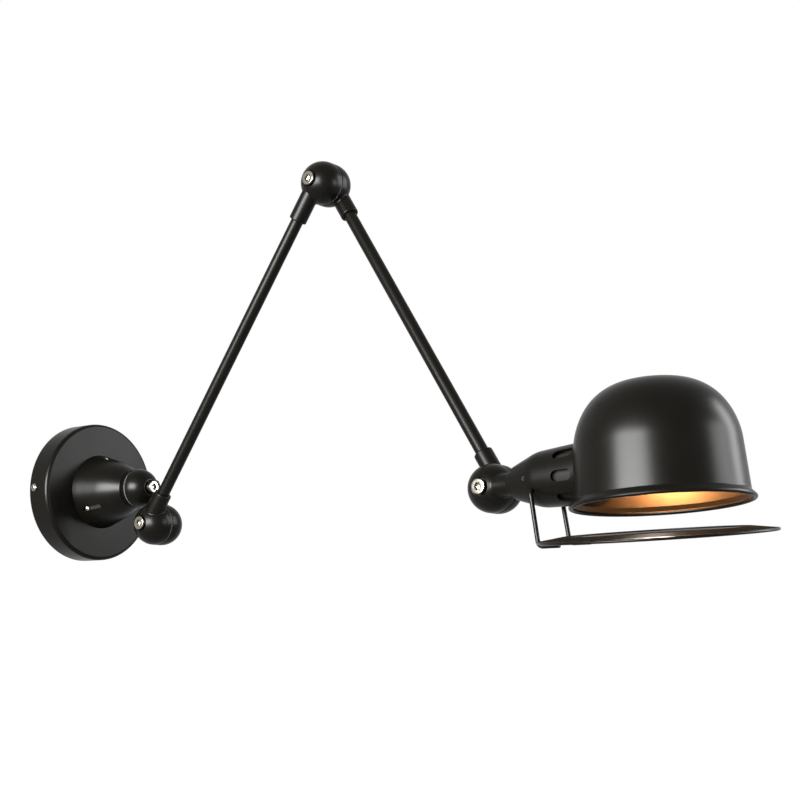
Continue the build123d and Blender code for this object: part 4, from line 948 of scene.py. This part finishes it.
def studio_floor(name):
    """Pale floor that keeps the lamp's shadow. It looks white to the camera through its own glow,
    and in reflections and through glass it shows as plain white."""
    surface = Finish(name, (0.95, 0.95, 0.95), 0.9, Emission_Strength=0.8, Specular_IOR_Level=0.0)
    camera_ray = surface.node("ShaderNodeLightPath")
    rays = camera_ray.socket.node.outputs
    mirrored = Value(surface, rays["Is Glossy Ray"]) + Value(surface, rays["Is Transmission Ray"])
    surface.feed("Emission Color", surface.mix(camera_ray, (0, 0, 0, 1), (1, 1, 1, 1)))
    white = surface.node("ShaderNodeEmission", {"Color": (1, 1, 1, 1), "Strength": 1.0})
    output = surface.tree.nodes["Material Output"]
    own = Value(surface, surface.shader.outputs["BSDF"])
    share = surface.node("ShaderNodeClamp", [mirrored])
    shown = surface.node("ShaderNodeMixShader", [share, own, white])
    surface.tree.links.new(shown.socket, output.inputs["Surface"])
    return surface.material


floor_mesh = bpy.data.meshes.new("studio_floor")
floor_mesh.from_pydata([(x * FLOOR_REACH, y * FLOOR_REACH, -FLOOR_DROP)
                        for x, y in ((-1, -1), (1, -1), (1, 1), (-1, 1))], [], [(0, 1, 2, 3)])
floor_mesh.materials.append(studio_floor("studio floor"))
floor = bpy.data.objects.new("studio_floor", floor_mesh)
bpy.context.scene.collection.objects.link(floor)

world = bpy.data.worlds.new("studio")
bpy.context.scene.world = world
world.use_nodes = True
world_nodes = world.node_tree.nodes
world_links = world.node_tree.links
background = world_nodes["Background"]
background.inputs["Color"].default_value = (1, 1, 1, 1)
ray = world_nodes.new("ShaderNodeLightPath")
sums = [world_nodes.new("ShaderNodeMath") for _ in range(3)]
sums[0].operation, sums[1].operation, sums[2].operation = "ADD", "ADD", "MULTIPLY_ADD"
sums[1].use_clamp = True
world_links.new(ray.outputs["Is Camera Ray"], sums[0].inputs[0])
world_links.new(ray.outputs["Is Glossy Ray"], sums[0].inputs[1])
world_links.new(sums[0].outputs[0], sums[1].inputs[0])
world_links.new(ray.outputs["Is Transmission Ray"], sums[1].inputs[1])
world_links.new(sums[1].outputs[0], sums[2].inputs[0])
sums[2].inputs[1].default_value = WORLD_STRENGTH_SEEN - WORLD_STRENGTH
sums[2].inputs[2].default_value = WORLD_STRENGTH
world_links.new(sums[2].outputs[0], background.inputs["Strength"])


def soft_lamp(name, place, aim, size, power):
    """Rectangular lamp at a place, turned towards a point."""
    light = bpy.data.lights.new(name, "AREA")
    light.shape, light.size, light.size_y, light.energy = "RECTANGLE", size[0], size[1], power
    lamp = bpy.data.objects.new(name, light)
    bpy.context.scene.collection.objects.link(lamp)
    lamp.location = place
    lamp.rotation_mode = "QUATERNION"
    lamp.rotation_quaternion = (Vector(aim) - Vector(place)).to_track_quat("-Z", "Y")


# Name, place, point aimed at, width and height in metres, power in watts
STUDIO_LAMPS = (
    ("side panel", (-1.5, -0.33, 0.21), (0, -0.33, 0.21), (1.15, 0.70), 265),
    ("front panel", (1.3, -1.45, 0.60), (0, -0.4, 0.0), (0.5, 1.1), 35),
    ("shade panel", (0.30, -1.25, 0.17), (0, -0.58, -0.03), (0.35, 0.35), 8.4))
for entry in STUDIO_LAMPS:
    soft_lamp(*entry)

# Camera, placed by a perspective fit of the photograph's outlines

CAMERA_PLACE = Vector((-0.85013, -1.02115, -0.13045))
CAMERA_AZIMUTH, CAMERA_ELEVATION = np.radians(-52.01), np.radians(-9.4)
SENSOR_WIDTH, LENS = 36.0, 65.68
camera_data = bpy.data.cameras.new("photograph")
camera_data.sensor_width, camera_data.lens = SENSOR_WIDTH, LENS
camera = bpy.data.objects.new("photograph", camera_data)
bpy.context.scene.collection.objects.link(camera)
right = Vector((np.cos(CAMERA_AZIMUTH), np.sin(CAMERA_AZIMUTH), 0))
back = Vector((np.sin(CAMERA_AZIMUTH) * np.cos(CAMERA_ELEVATION),
               -np.cos(CAMERA_AZIMUTH) * np.cos(CAMERA_ELEVATION), np.sin(CAMERA_ELEVATION)))
up = back.cross(right)
camera_turn = Matrix((right, up, back)).transposed().to_4x4()
camera.matrix_world = Matrix.Translation(CAMERA_PLACE) @ camera_turn
bpy.context.scene.camera = camera
bpy.context.scene.view_settings.view_transform = "Standard"
